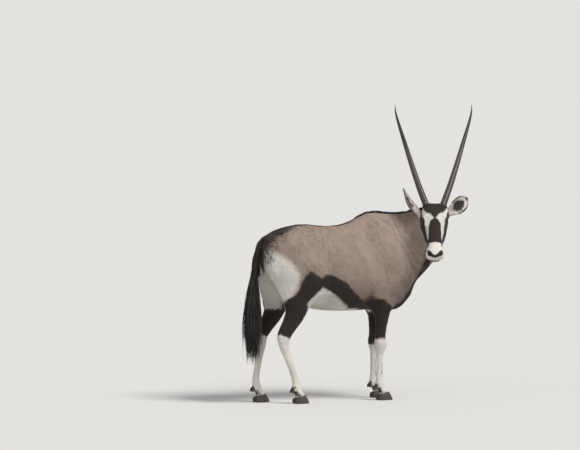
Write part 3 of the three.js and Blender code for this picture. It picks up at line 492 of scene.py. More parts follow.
# one skin over the body, neck, head and legs
skinPlan = dict(voxel=0.0036, quickVoxel=0.006, rounds=46, thinnedTo=0.33, bodyDepth=0.003, legDepth=0.0015,
                foldDepth=0.0028, foldGap=0.031, kneeHeight=0.365, kneeGrowth=0.0075, kneeSpread=0.034,
                throatAt=(0.41, -0.08, 0.90), throatGrowth=0.032, throatSpread=0.105)
bendWay = np.array([0.906, -0.423, 0])  # level, across the camera's view, the way the neck swells as it turns
fleshNodes = ["torso", "neck", "head", "foreleg_left", "foreleg_right", "hindleg_left", "hindleg_right"]


def regionsOf(points):
    head = smoothStep(-0.045, 0.0, headShareAt(points))
    leg = smoothStep(0.66, 0.54, (points + middle)[:, 2])
    return head, leg


def neckFolds(points, normals):
    # upright folds where the skin is pressed together on the inner side of the bend
    place = points + middle
    at = place @ bendWay + 0.006 * np.sin(place[:, 2] * 14)
    wave = np.cos(2 * math.pi * (at - 0.43) / skinPlan["foldGap"])
    near = smoothStep(0.405, 0.44, at) * smoothStep(0.565, 0.53, at)
    tall = smoothStep(0.78, 0.90, place[:, 2]) * smoothStep(1.17, 1.08, place[:, 2])
    faces = smoothStep(0.2, 0.6, normals @ np.array([-0.42, -0.906, 0]))
    return skinPlan["foldDepth"] * np.minimum(wave, 0.35) * near * tall * faces


def addWeights(piece, name, weights):
    group = piece.vertex_groups.new(name=name)
    steps = np.round(np.clip(weights, 0, 1) * 20).astype(int)
    for step in range(1, 21):
        chosen = np.nonzero(steps == step)[0]
        if len(chosen):
            group.add(chosen.tolist(), step / 20, "REPLACE")


def settleBackLine(piece):
    # the line of the back and nape, moved to the highest part of each section
    bpy.context.view_layer.update()
    aside = unit(np.cross(np.gradient(backLine, axis=0), upWay))
    offsets = np.linspace(-0.05, 0.05, 41)

    def heightAt(place):
        found, at = piece.ray_cast((place[0], place[1], 3.0), (0, 0, -1))[:2]
        return at[2] if found else 0.0

    best = []
    for place, way in zip(backLine, aside):
        heights = np.array([heightAt(place + way * offset) for offset in offsets]) - 1.5 * offsets ** 2
        best.append(offsets[np.argmax(heights)])
    fade = smoothStep(backNodes - 1, backNodes - 8, np.arange(backNodes))
    best = np.convolve(np.pad(best, 4, "edge"), np.ones(9) / 9, "valid") * fade
    backLine[:] = backLine + aside * best[:, None]
    backLine[:, 2] = [heightAt(place) for place in backLine]
    print("back line moved by up to", round(float(np.abs(best).max()), 3))


def makeSkin():
    skin = copyOf(fleshNodes, "skin")
    addModifier(skin, "REMESH", mode="VOXEL", voxel_size=skinPlan["voxel"])
    applyAll(skin)
    points = pointsOf(skin.data)
    head, leg = regionsOf(points)
    foot = smoothStep(0.16, 0.12, points[:, 2])
    addWeights(skin, "soft", (1 - head) * (1 - 0.75 * leg + 0.35 * foot) + 0.06 * head)
    addModifier(skin, "SMOOTH", factor=0.5, iterations=skinPlan["rounds"], vertex_group="soft")
    applyAll(skin)
    addWeights(skin, "thin", (1 - head) * (1 - 0.3 * leg))
    addModifier(skin, "DECIMATE", ratio=skinPlan["thinnedTo"], vertex_group="thin")
    applyAll(skin)
    mesh = skin.data
    points, normals = pointsOf(mesh), normalsOf(mesh)
    head, leg = regionsOf(points)
    depth = (1 - head) * (skinPlan["bodyDepth"] * (1 - leg) + skinPlan["legDepth"] * leg)
    depth = depth - neckFolds(points, normals) * (1 - head)
    knee = np.exp(-((points[:, 2] - skinPlan["kneeHeight"]) / skinPlan["kneeSpread"]) ** 2)
    depth = depth - skinPlan["kneeGrowth"] * (knee * ((points + middle)[:, 0] > 0))
    away = np.sum((points - skinPlan["throatAt"]) ** 2, axis=1)
    throat = np.exp(-away / skinPlan["throatSpread"] ** 2) * (1 - head)
    fuller = bendWay * skinPlan["throatGrowth"] * throat[:, None]
    putPoints(mesh, points + fuller - normals * depth[:, None])
    settleBackLine(skin)
    addMarks(mesh, *fieldsAt(pointsOf(mesh), normals))
    coverWith(skin, skinCoat)
    skin.vertex_groups.clear()
    return skin


skin = makeSkin()
print("skin:", sum(len(face.vertices) - 2 for face in skin.data.polygons), "triangles")


def unwrapPlace(points, normals):
    # twelve charts: the skin seen along its own six sides, the animal's left and right apart
    place = points + middle
    span = 2.0
    axis = np.argmax(np.abs(normals), axis=1)
    positive = normals[np.arange(len(normals)), axis] > 0
    across = np.where(axis == 0, place[:, 1], place[:, 0]) + 0.9
    up = np.where(axis == 2, place[:, 1], place[:, 2]) + np.where(axis == 2, 0.9, 0.05)
    chart = axis * 4 + positive * 2 + (place[:, 1] > 0)
    return np.stack([(chart % 4 + np.clip(across / span, 0.01, 0.99)) / 4,
                     (chart // 4 + np.clip(up / span, 0.01, 0.99)) / 3], 1)


def joinedMesh(name, points, loopIndex, starts):
    mesh = bpy.data.meshes.new(name)
    mesh.vertices.add(len(points))
    mesh.vertices.foreach_set("co", points.astype(np.float32).ravel())
    mesh.loops.add(len(loopIndex))
    mesh.loops.foreach_set("vertex_index", loopIndex.astype(np.int32))
    mesh.polygons.add(len(starts))
    mesh.polygons.foreach_set("loop_start", starts.astype(np.int32))
    mesh.update(calc_edges=True)
    return mesh


def addBakeMap(mesh, mapRoots, spot, loopIndex):
    # a small patch of the map for each tuft or lock, round its root's place on it
    uv = (mapRoots[:, None, :] + spot[None]).reshape(-1, 2)
    layer = mesh.uv_layers.new(name="OFBake")
    layer.data.foreach_set("uv", uv[loopIndex].astype(np.float32).ravel())


def placeMesh(name, mesh, material):
    piece = bpy.data.objects.new(name, mesh)
    bpy.context.scene.collection.objects.link(piece)
    coverWith(piece, material)
    return piece


def samplePlaces(piece, count, weigh, seed):
    # seeded places on a piece, as many in each part as its area and weight ask
    draw = np.random.default_rng(seed)
    mesh = piece.data
    mesh.calc_loop_triangles()
    corners = np.zeros(len(mesh.loop_triangles) * 3, np.int32)
    mesh.loop_triangles.foreach_get("vertices", corners)
    corners = corners.reshape(-1, 3)
    points, normals = pointsOf(mesh), normalsOf(mesh)
    a, b, c = points[corners[:, 0]], points[corners[:, 1]], points[corners[:, 2]]
    area = np.linalg.norm(np.cross(b - a, c - a), axis=1) / 2
    share = area * weigh((a + b + c) / 3)
    chosen = draw.choice(len(corners), count, p=share / share.sum())
    u, v = draw.random((2, count))
    flip = u + v > 1
    u, v = np.where(flip, 1 - u, u), np.where(flip, 1 - v, v)
    w = 1 - u - v
    at = a[chosen] * w[:, None] + b[chosen] * u[:, None] + c[chosen] * v[:, None]
    up = unit(normals[corners[chosen, 0]] * w[:, None] + normals[corners[chosen, 1]] * u[:, None]
              + normals[corners[chosen, 2]] * v[:, None])
    return at, up, draw


# coat: how many tufts each part has and how they stand; ownShade is how much of its own shading a tuft keeps
coatPlan = dict(bodyTufts=88000, neckTufts=33000, legTufts=32000, headTufts=26000, perPiece=33000, bodyLength=0.0125,
                width=0.12, rise=0.07, ownShade=0.35, stray=0.0042, turn=0.09, sunk=0.0008)
hairShare = 1


def tuftMesh(name, root, rings, tip, up, mapRoots):
    # joined short tufts, each a closed spindle of six faces from root over three corners to tip
    count = len(root)
    points = np.concatenate([root[:, None], rings, tip[:, None]], axis=1).reshape(-1, 3)
    loops = np.array([0, 2, 1, 0, 3, 2, 0, 1, 3, 4, 1, 2, 4, 2, 3, 4, 3, 1])
    loopIndex = ((np.arange(count) * 5)[:, None] + loops).ravel()
    mesh = joinedMesh(name, points, loopIndex, np.arange(0, len(loopIndex), 3))
    spot = np.array([[0, -0.0015], [-0.0010, -0.0004], [0.0010, -0.0004], [0, 0.0002], [0, 0.0015]])
    addBakeMap(mesh, mapRoots, spot, loopIndex)
    piece = placeMesh(name, mesh, tuftCoat)
    # shaded mostly as the skin under it, so that flat hair lies in one sheen
    soft = unit(np.repeat(up, 5, axis=0) + coatPlan["ownShade"] * normalsOf(mesh))
    mesh.normals_split_custom_set_from_vertices(soft.astype(np.float32))
    return piece


def coatPiece(name, piece, count, weigh, length, width, rise, seed, fields=fieldsAt, lie=lieAt):
    at, up, draw = samplePlaces(piece, count, weigh, seed)
    way = lie(at)
    way = unit(way - up * np.sum(way * up, axis=1, keepdims=True))
    way = unit(way + np.cross(up, way) * draw.normal(0, coatPlan["turn"], (count, 1)))
    across = np.cross(up, way)
    long = length(at) * draw.uniform(0.75, 1.25, count)
    half = (long * width * draw.uniform(0.8, 1.2, count) / 2)[:, None]
    lift = (long * rise * draw.uniform(0.5, 1.5, count))[:, None]
    centre = at + way * (long * 0.4)[:, None] + up * lift * 0.6
    tip = at + way * long[:, None] + up * lift
    rings = np.stack([centre - across * half, centre + across * half, centre + up * half * 0.45], 1)
    marks = [field + draw.normal(0, coatPlan["stray"], count) for field in fields(at, up)]
    tufts = tuftMesh(name, at - up * coatPlan["sunk"], rings, tip, up, unwrapPlace(at, up))
    addMarks(tufts.data, *(np.repeat(values, 5) for values in marks))
    return tufts


def onNeck(at):
    return smoothStep(0.38, 0.46, (at + middle)[:, 0])


def trunkWeight(at):
    head, leg = regionsOf(at)
    return (1 - head) * (1 - leg)


def bodyWeight(at):
    return trunkWeight(at) * (1 - onNeck(at))


def neckWeight(at):
    return trunkWeight(at) * onNeck(at)


def legWeight(at):
    return regionsOf(at)[1] * smoothStep(0.030, 0.045, at[:, 2]) * (1 + smoothStep(0.09, 0.06, at[:, 2]))


def headWeight(at):
    hx = toHead(at)[:, 0]
    return regionsOf(at)[0] * (1 - 0.8 * smoothStep(0.26, 0.30, hx))


def bodyLength(at):
    return np.full(len(at), coatPlan["bodyLength"])


def legLength(at):
    return 0.005 + 0.007 * smoothStep(0.15, 0.6, at[:, 2]) + 0.004 * smoothStep(0.10, 0.06, at[:, 2])


def headLength(at):
    return 0.0085 - 0.004 * smoothStep(0.05, 0.30, toHead(at)[:, 0])


coatPieces = []
for name, count, weigh, length in (("coatBody", "bodyTufts", bodyWeight, bodyLength),
                                   ("coatNeck", "neckTufts", neckWeight, bodyLength),
                                   ("coatLegs", "legTufts", legWeight, legLength),
                                   ("coatHead", "headTufts", headWeight, headLength)):
    parts = math.ceil(coatPlan[count] / coatPlan["perPiece"])
    for part in range(parts):
        coatPieces.append(coatPiece(name + (str(part + 1) if parts > 1 else ""), skin,
                                    int(coatPlan[count] * hairShare / parts), weigh, length, coatPlan["width"],
                                    coatPlan["rise"], 11 + len(coatPieces)))
print("coat laid")


def lockPiece(name, roots, bends, tips, widths, flats, thickness, mapRoots, ringCount):
    # tapering flat locks of four corners along a curve from root through bend to tip, closed at both ends
    corners, count = 4, len(roots)
    perLock = ringCount * corners + 1
    rings = []
    for stop in np.linspace(0, 1, ringCount + 1)[:-1]:
        centre = roots * (1 - stop) ** 2 + bends * 2 * stop * (1 - stop) + tips * stop ** 2
        run = unit(2 * (1 - stop) * (bends - roots) + 2 * stop * (tips - bends))
        flat = unit(flats - run * np.sum(flats * run, axis=1, keepdims=True))
        half = (widths * np.interp(stop, [0, 0.3, 0.7, 1], [0.6, 1, 0.75, 0.15]) / 2)[:, None]
        thin = np.cross(run, flat) * half * thickness
        rings += [centre + flat * half, centre + thin, centre - flat * half, centre - thin]
    points = np.stack([*rings, tips], 1).reshape(-1, 3)
    around = np.arange(corners)
    after = (around + 1) % corners
    quad = np.stack([around, after, after + corners, around + corners], 1)
    quads = np.concatenate([quad + ring * corners for ring in range(ringCount - 1)])
    last = (ringCount - 1) * corners
    tipFaces = np.stack([last + around, last + after, np.full(corners, perLock - 1)], 1)
    loops = np.concatenate([quads.ravel(), tipFaces.ravel(), around[::-1]])
    sizes = np.concatenate([np.full(len(quads), 4), np.full(corners, 3), [corners]])
    loopIndex = ((np.arange(count) * perLock)[:, None] + loops).ravel()
    mesh = joinedMesh(name, points, loopIndex, np.concatenate([[0], np.cumsum(np.tile(sizes, count))[:-1]]))
    mesh.validate()
    turnAt = 2 * math.pi * around / corners
    circle = np.stack([np.cos(turnAt), np.sin(turnAt)], 1) * 0.0015
    spot = [circle * (1 - 0.7 * ring / ringCount) for ring in range(ringCount)]
    addBakeMap(mesh, mapRoots, np.concatenate([*spot, np.zeros((1, 2))]), loopIndex)
    return placeMesh(name, mesh, hairMaterial)


# ears: cupped leaves that roll into a tube at the root; wall radius and half opening along the length
earShape = dict(at=[-0.16, 0.0, 0.09, 0.18, 0.28, 0.40, 0.55, 0.70, 0.82, 0.92, 1.0],
                radius=[0.010, 0.017, 0.019, 0.023, 0.033, 0.048, 0.057, 0.054, 0.046, 0.036, 0.024],
                wrap=[3.1, 3.1, 2.8, 2.3, 1.7, 1.28, 1.12, 1.05, 0.90, 0.62, 0.10], curl=0.022)


def earFrame(which):
    ear = earPlan[which]
    base = fromHead([ear["base"]])[0]
    way = unit(np.array(ear["way"]) @ headTurn)
    opened = np.array(ear["open"]) @ headTurn
    opened = unit(opened - way * (opened @ way))
    return base, way, opened, np.cross(opened, way)


def earSection(along):
    return [np.interp(along, earShape["at"], earShape[key]) for key in ("radius", "wrap")]


def earFieldsFor(which):
    base, way, opened, across = earFrame(which)

    def earFields(points, normals):
        local = points - base
        along = local @ way / earPlan["length"]
        radius, wrap = earSection(along)
        curl = earShape["curl"] * along ** 2
        around = np.abs(np.arctan2(local @ across, radius - (local @ opened + curl))) / wrap
        axis = base + way * (along * earPlan["length"])[:, None] + opened * (radius - curl)[:, None]
        inner = np.sum((axis - points) * normals, axis=1) > 0
        rim = (around - 0.84 - 0.3 * np.maximum(0, 0.45 - along)) * 0.05
        tip = (along - 0.90) * 0.18
        core = (1 - np.hypot(around / 0.60, (along - 0.56) / 0.25)) * 0.03
        backDark = np.maximum(tip, np.where(along > 0.35, (around - 0.80) * 0.05, -0.03))
        dark = np.where(inner, np.maximum(np.maximum(rim, tip), core), backDark)
        backPale = np.clip((around - 0.6) * 0.02, -0.008, 0.004)
        return dark, np.where(inner, earPlan[which]["inside"] + 0.010 * around, backPale)

    return earFields


def makeEar(which):
    base, way, opened, across = earFrame(which)
    deselect()
    bpy.ops.mesh.primitive_grid_add(x_subdivisions=30, y_subdivisions=46, size=2)
    ear = newest("ear_" + which + "Fine")
    grid = pointsOf(ear.data)
    first, last = earShape["at"][0], earShape["at"][-1]
    along = first + (last - first) * (grid[:, 1] + 1) / 2
    radius, wrap = earSection(along)
    turn = grid[:, 0] * wrap
    ripple = 0.0012 * np.cos(turn * 9) * smoothStep(0.15, 0.3, along) * smoothStep(0.8, 0.6, along)
    out = (radius + ripple) * np.sin(turn)
    forward = radius - (radius + ripple) * np.cos(turn) - earShape["curl"] * along ** 2
    points = base + way * (along * earPlan["length"])[:, None] + across * out[:, None] + opened * forward[:, None]
    putPoints(ear.data, points)
    addModifier(ear, "SMOOTH", iterations=3)
    addModifier(ear, "SOLIDIFY", thickness=earPlan["thick"], offset=0)
    addModifier(ear, "SUBSURF", levels=1)
    applyAll(ear)
    faceOutward(ear)
    addMarks(ear.data, *earFieldsFor(which)(pointsOf(ear.data), normalsOf(ear.data)))
    coverWith(ear, skinCoat)
    return ear


def makeEarFur(which, ear, seed):
    base, way, opened, across = earFrame(which)

    def alongEar(at):
        return (at - base) @ way / earPlan["length"]

    def lie(at):
        local = at - base
        return way + opened * 0.25 - across * np.sign(local @ across)[:, None] * 0.15

    def weigh(at):
        return smoothStep(-0.02, 0.08, alongEar(at))

    def length(at):
        return 0.007 + 0.004 * smoothStep(0.6, 0.2, alongEar(at))

    return coatPiece("ear_" + which + "Coat", ear, int(earPlan["tufts"] * hairShare), weigh, length, 0.12, 0.10,
                     seed, earFieldsFor(which), lie)


earPieces = []
for seed, which in ((41, "left"), (42, "right")):
    ear = makeEar(which)
    earPieces += [ear, makeEarFur(which, ear, seed)]
print("ears made")


# lids: an almond ring on each eyeball, its upper half heavier and lower over the eye
lidPlan = dict(open=1.02, upper=0.66, lower=0.70, thick=0.0030, spread=0.0066)


def eyePlace(which):
    # an eye's side, centre and outward way
    sign = 1 if which == "left" else -1
    mirror = np.array([1, sign, 1])
    out = unit((np.array(eyePlan["out"]) * mirror) @ headTurn)
    return sign, fromHead([np.array(eyePlan["at"]) * mirror])[0], out


def makeLids(which):
    sign, centre, out = eyePlace(which)
    down = unit(noseWay * 0.94 - browWay * 0.34)
    down = unit(down - out * (down @ out))
    up = np.cross(out, down) * sign
    deselect()
    bpy.ops.mesh.primitive_torus_add(major_segments=48, minor_segments=12, major_radius=1.0, minor_radius=0.25)
    lids = newest("lids_" + which)
    ring = pointsOf(lids.data)
    turn = np.arctan2(ring[:, 1], ring[:, 0])
    away = (np.hypot(ring[:, 0], ring[:, 1]) - 1) / 0.25
    lift = ring[:, 2] / 0.25
    tall = np.where(np.sin(turn) > 0, lidPlan["upper"], lidPlan["lower"])
    wide = lidPlan["open"] * np.cos(turn)
    high = tall * np.sin(turn) * (0.55 + 0.45 * np.abs(np.sin(turn)))
    polar = np.hypot(wide, high)
    side = unit(down * wide[:, None] + up * high[:, None])
    spread = lidPlan["spread"] * np.where(np.sin(turn) > 0, 1.25, 1.0) / eyePlan["radius"]
    polar = polar + spread * (away + 0.8)
    reach = eyePlan["radius"] + lidPlan["thick"] * (0.35 + lift) * (1 + 0.3 * (np.sin(turn) > 0))
    reach = reach - 0.10 * np.maximum(0, polar - 0.95) * eyePlan["radius"]
    points = centre + (out * np.cos(polar)[:, None] + side * np.sin(polar)[:, None]) * reach[:, None]
    putPoints(lids.data, points)
    faceOutward(lids)
    addMarks(lids.data, np.full(len(points), 0.02), np.zeros(len(points)))
    coverWith(lids, skinCoat)
    return lids


lidPieces = [makeLids("left"), makeLids("right")]

# tail: the dock under its hair, then long black locks from hairFrom, counted in stops of the dock, down
tailPlan = dict(locks=1900, tip=0.225, spread=0.050, hairFrom=1.5, stray=0.014, flatness=0.35, stemTufts=5000,
                stemLength=0.013)
dockPlan = np.array([[-0.462, 0, 1.030], [-0.520, 0, 0.998], [-0.553, 0.003, 0.925], [-0.562, 0.007, 0.820],
                     [-0.564, 0.009, 0.720], [-0.564, 0.010, 0.620]]) - middle
dockRadius = np.array([0.034, 0.023, 0.017, 0.015, 0.015, 0.010])


def putInOrder(mesh):
    # the same mesh in one set order, as the operators leave another order in each run
    points = pointsOf(mesh)
    order = np.lexsort(points.T)
    rank = np.argsort(order)
    faces = []
    for face in mesh.polygons:
        ring = [int(rank[i]) for i in face.vertices]
        first = ring.index(min(ring))
        faces.append(ring[first:] + ring[:first])
    mesh.clear_geometry()
    mesh.from_pydata(points[order].tolist(), [], sorted(faces))
    mesh.update()


def makeDock():
    # short-haired stem of the tail, grown ring by ring
    start, way = dockPlan[0], unit(dockPlan[1] - dockPlan[0])
    deselect()
    bpy.ops.mesh.primitive_circle_add(vertices=20, radius=dockRadius[0], fill_type="NGON", location=start,
                                      rotation=(0, math.atan2(way[0], way[2]), 0))
    dock = newest("tailStem")
    bpy.ops.object.transform_apply(location=True, rotation=True, scale=True)
    stops = np.linspace(0, len(dockPlan) - 1, 22)
    line = alongLine(dockPlan, stops)
    radii = np.interp(stops, np.arange(len(dockPlan)), dockRadius)
    runs = unit(np.gradient(line, axis=0))
    bpy.ops.object.mode_set(mode="EDIT")
    bpy.ops.mesh.select_all(action="SELECT")
    for i in range(1, len(line)):
        before, after = runs[i - 1], runs[i]
        bpy.ops.mesh.extrude_region_move(TRANSFORM_OT_translate={"value": tuple(line[i] - line[i - 1])})
        angle = math.atan2(after[0], after[2]) - math.atan2(before[0], before[2])
        size = radii[i] / radii[i - 1]
        bpy.ops.transform.rotate(value=-angle, orient_axis="Y", center_override=tuple(line[i]))
        bpy.ops.transform.resize(value=(size, size, size), center_override=tuple(line[i]))
    bpy.ops.object.mode_set(mode="OBJECT")
    faceOutward(dock)
    putInOrder(dock.data)
    count = len(dock.data.vertices)
    addMarks(dock.data, np.full(count, 0.02), np.full(count, -0.02))
    coverWith(dock, skinCoat)
    return dock


def makeTailHair():
    draw = np.random.default_rng(21)
    count = int(tailPlan["locks"] * hairShare)
    reach = len(dockPlan) - 1 - tailPlan["hairFrom"]
    at = tailPlan["hairFrom"] + reach * draw.random(count) ** 0.80
    along = (at - tailPlan["hairFrom"]) / reach
    along = (at - 1.5) / 3.5
    centre = alongLine(dockPlan, at)
    radius = np.interp(at, np.arange(len(dockPlan)), dockRadius)
    angle = draw.uniform(0, 2 * math.pi, count)
    out = np.stack([np.minimum(0.6, np.cos(angle)), np.sin(angle), 0 * angle], 1)
    fall = (centre[:, 2] - tailPlan["tip"]) * (0.36 + 0.64 * along) * draw.uniform(0.60, 1.0, count)
    fall = np.maximum(fall, 0.10) * (0.5 + 0.5 * smoothStep(0.0, 0.25, along))
    spread = tailPlan["spread"] * draw.uniform(0.3, 1.1, count) * (0.10 + 0.90 * smoothStep(0.12, 0.62, along))
    root = centre + out * (radius * 0.7)[:, None]
    bend = root + out * (spread * 1.5)[:, None] - upWay * (fall * 0.42)[:, None]
    tip = root + out * (spread * draw.uniform(0.0, 0.85, count))[:, None] - upWay * fall[:, None]
    tip += np.stack([draw.normal(0, tailPlan["stray"], count), draw.normal(0, tailPlan["stray"], count), 0 * fall], 1)
    flat = np.cross(out, upWay) + draw.normal(0, 0.2, (count, 3))
    return lockPiece("tailHair", root, bend, tip, draw.uniform(0.004, 0.010, count), flat, tailPlan["flatness"],
                     unwrapPlace(root, out), 7)


def stemLie(at):
    return np.tile(np.array([-0.35, 0, -1.0]), (len(at), 1))


def stemFields(at, up):
    return np.full(len(at), 0.02), np.full(len(at), -0.02)


tailStem = makeDock()
tailCoat = coatPiece("tailCoat", tailStem, int(tailPlan["stemTufts"] * hairShare),
                     lambda at: smoothStep(0.62, 0.75, at[:, 2]),
                     lambda at: np.full(len(at), tailPlan["stemLength"]), 0.10, 0.10, 51, stemFields, stemLie)
tailHair = makeTailHair()
print("tail made")

# mane: short black hair standing along the crest and the whole back, its height by the share of the way
manePlan = dict(locks=2000, height=0.016, spread=0.0045, flatness=0.4, sunk=0.004,
                profile=([0, 0.08, 0.5, 0.6, 0.72, 0.92, 1], [0.2, 0.42, 0.42, 0.8, 1, 0.85, 0.2]))


def onSkin(guesses):
    found = [skin.closest_point_on_mesh(tuple(guess))[1:3] for guess in guesses]
    return np.array([place for place, normal in found]), np.array([normal for place, normal in found])


def makeMane():
    draw = np.random.default_rng(31)
    lengths = np.concatenate([[0], np.cumsum(np.linalg.norm(np.diff(backLine, axis=0), axis=1))])
    count = int(manePlan["locks"] * hairShare)
    at = draw.uniform(0, lengths[-1], count)
    guess = alongLine(backLine, at, lengths)
    run = unit(alongLine(backLine, at + 0.02, lengths) - alongLine(backLine, at - 0.02, lengths))
    side = unit(np.cross(run, upWay))
    guess += side * draw.normal(0, manePlan["spread"], (count, 1))
    root, up = onSkin(guess)
    height = manePlan["height"] * draw.uniform(0.55, 1.0, count) * np.interp(at / lengths[-1], *manePlan["profile"])
    rise = unit(up + side * draw.normal(0, 0.18, (count, 1)) - run * draw.uniform(0.3, 0.9, (count, 1)))
    bend = root + unit(up * 1.2 - run * 0.2) * (height * 0.5)[:, None]
    tip = root + rise * height[:, None]
    return lockPiece("mane", root - up * manePlan["sunk"], bend, tip, draw.uniform(0.003, 0.006, count), run,
                     manePlan["flatness"], unwrapPlace(root, up), 3)

mane = makeMane()
print("mane made")

# horns: middle line in the head's axes with radius, ringed over the lower part
hornPlan = dict(stations=[(0.040, 0.042, -0.046, 0.0215), (0.024, 0.044, -0.042, 0.0222),
                          (-0.016, 0.052, -0.028, 0.0232), (-0.176, 0.102, -0.030, 0.0212),
                          (-0.355, 0.150, -0.040, 0.0182), (-0.520, 0.190, -0.060, 0.0145),
                          (-0.690, 0.230, -0.086, 0.0095), (-0.784, 0.246, -0.106, 0.0052),
                          (-0.842, 0.247, -0.120, 0.0010)],
                rings=27, ringed=0.62, ringDepth=0.0018, narrowed=0.92)


def curveThrough(stations, stops):
    # smooth line through the stations
    stations = np.asarray(stations, float)
    padded = np.concatenate([[2 * stations[0] - stations[1]], stations, [2 * stations[-1] - stations[-2]]])
    index = np.clip(np.floor(stops).astype(int), 0, len(stations) - 2)
    t = (stops - index)[:, None]
    a, b, c, d = (padded[index + i] for i in range(4))
    return 0.5 * (2 * b + (c - a) * t + (2 * a - 5 * b + 4 * c - d) * t ** 2 + (3 * b - a - 3 * c + d) * t ** 3)


def makeHorn(which):
    deselect()
    bpy.ops.mesh.primitive_cylinder_add(vertices=24, radius=1, depth=2, end_fill_type="TRIFAN")
    horn = newest("horn_" + which + "Fine")
    # the long edges are cut across twice, as one call makes 100 cuts at most
    for cuts in (100, 1):
        bpy.ops.object.mode_set(mode="EDIT")
        bpy.ops.mesh.select_all(action="DESELECT")
        bpy.ops.mesh.select_mode(type="EDGE")
        bpy.ops.object.mode_set(mode="OBJECT")
        points = pointsOf(horn.data)
        for edge in horn.data.edges:
            apart = np.abs(points[edge.vertices[0]] - points[edge.vertices[1]])
            edge.select = bool(apart[2] > 1e-5 and apart[0] < 1e-5)
        bpy.ops.object.mode_set(mode="EDIT")
        bpy.ops.mesh.subdivide(number_cuts=cuts)
        bpy.ops.object.mode_set(mode="OBJECT")
    points = pointsOf(horn.data)
    stations = np.array(hornPlan["stations"])
    if which == "right":
        stations = stations * np.array([1, -1, 1, 1])
    stations[:, :3] = fromHead(stations[:, :3])
    fine = curveThrough(stations, np.linspace(0, len(stations) - 1, 1200))
    run = np.concatenate([[0], np.cumsum(np.linalg.norm(np.diff(fine[:, :3], axis=0), axis=1))])
    share = (points[:, 2] + 1) / 2
    at = share * run[-1]
    centre = alongLine(fine[:, :3], at, run)
    radius = np.interp(at, run, fine[:, 3])
    way = unit(alongLine(unit(np.gradient(fine[:, :3], axis=0)), at, run))
    front = unit(browWay - way * (way @ browWay)[:, None])
    aside = np.cross(way, front)
    ringShare = np.clip(share / hornPlan["ringed"], 0, 1)
    phase = ringShare * hornPlan["rings"] + 0.12 * points[:, 0] + 0.05 * np.sin(ringShare * 23)
    ridge = (0.5 + 0.5 * np.cos(2 * math.pi * phase)) ** 1.6
    fade = smoothStep(1.0, 0.82, ringShare) * smoothStep(0.0, 0.06, ringShare)
    grown = radius + hornPlan["ringDepth"] * (ridge - 0.4) * fade * (0.75 + 0.25 * points[:, 0])
    flat = np.hypot(points[:, 0], points[:, 1])
    outward = front * points[:, :1] + aside * points[:, 1:2] * hornPlan["narrowed"]
    putPoints(horn.data, centre + outward * grown[:, None])
    faceOutward(horn)
    addField(horn.data, "ridgeField", np.where(flat > 0.5, ridge * fade, 0))
    coverWith(horn, hornMaterial)
    return horn


hornPieces = [makeHorn("left"), makeHorn("right")]

# hooves: the claws rounded over, still flat on the ground
hoofPlan = dict(voxel=0.0020, rounds=14, taper=0.42, soleHeight=0.004)
hoofNodes = sorted(name for name in nodes if name.startswith("hoof"))


def makeHooves():
    hooves = copyOf(hoofNodes, "hooves")
    addModifier(hooves, "REMESH", mode="VOXEL", voxel_size=hoofPlan["voxel"])
    addModifier(hooves, "SMOOTH", iterations=hoofPlan["rounds"])
    applyAll(hooves)
    points = pointsOf(hooves.data)
    for name in hoofNodes:
        lo, hi = (np.array(corner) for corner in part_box(name))
        own = np.all((points > lo - 0.002) & (points < hi + 0.002), axis=1)
        toe = np.clip((points[own, 0] - lo[0]) / (hi[0] - lo[0]), 0, 1)
        axis = (lo[1] + hi[1]) / 2
        points[own, 1] = axis + (points[own, 1] - axis) * (1 - hoofPlan["taper"] * toe ** 2.2)
    low = points[:, 2].min()
    onSole = points[:, 2] < hoofPlan["soleHeight"]
    points[:, 2] = np.where(onSole, (points[:, 2] - low) * 0.5, points[:, 2])
    putPoints(hooves.data, points)
    coverWith(hooves, hoofMaterial)
    return hooves


hooves = makeHooves()

# dewclaws: a pair of blunt horny drops behind each fetlock
dewclawPlan = dict(feet=[(0.287, -0.090), (-0.310, -0.102), (0.329, 0.090), (-0.496, 0.102)], half=0.017,
                   at=(-0.025, 0.082), size=(0.0100, 0.0080, 0.0145), slope=-0.30)


def makeDewclaws():
    drops = []
    deep, wide, tall = dewclawPlan["size"]
    back, height = dewclawPlan["at"]
    for x, y in dewclawPlan["feet"]:
        for side in (-1, 1):
            deselect()
            bpy.ops.mesh.primitive_uv_sphere_add(segments=18, ring_count=12, radius=1)
            drop = newest("drop")
            points = pointsOf(drop.data)
            narrow = 0.6 + (0.72 - 0.28 * points[:, 2]) * 0.5
            points = points * np.stack([deep * narrow, wide * narrow, np.full(len(points), tall)], 1)
            points[:, 0] += dewclawPlan["slope"] * (tall - points[:, 2])
            at = np.array([x + back, y + side * dewclawPlan["half"], height]) - middle
            putPoints(drop.data, points + at)
            drops.append(drop)
    pick(*drops)
    bpy.ops.object.join()
    dewclaws = newest("dewclaws")
    coverWith(dewclaws, hoofMaterial)
    return dewclaws


dewclaws = makeDewclaws()


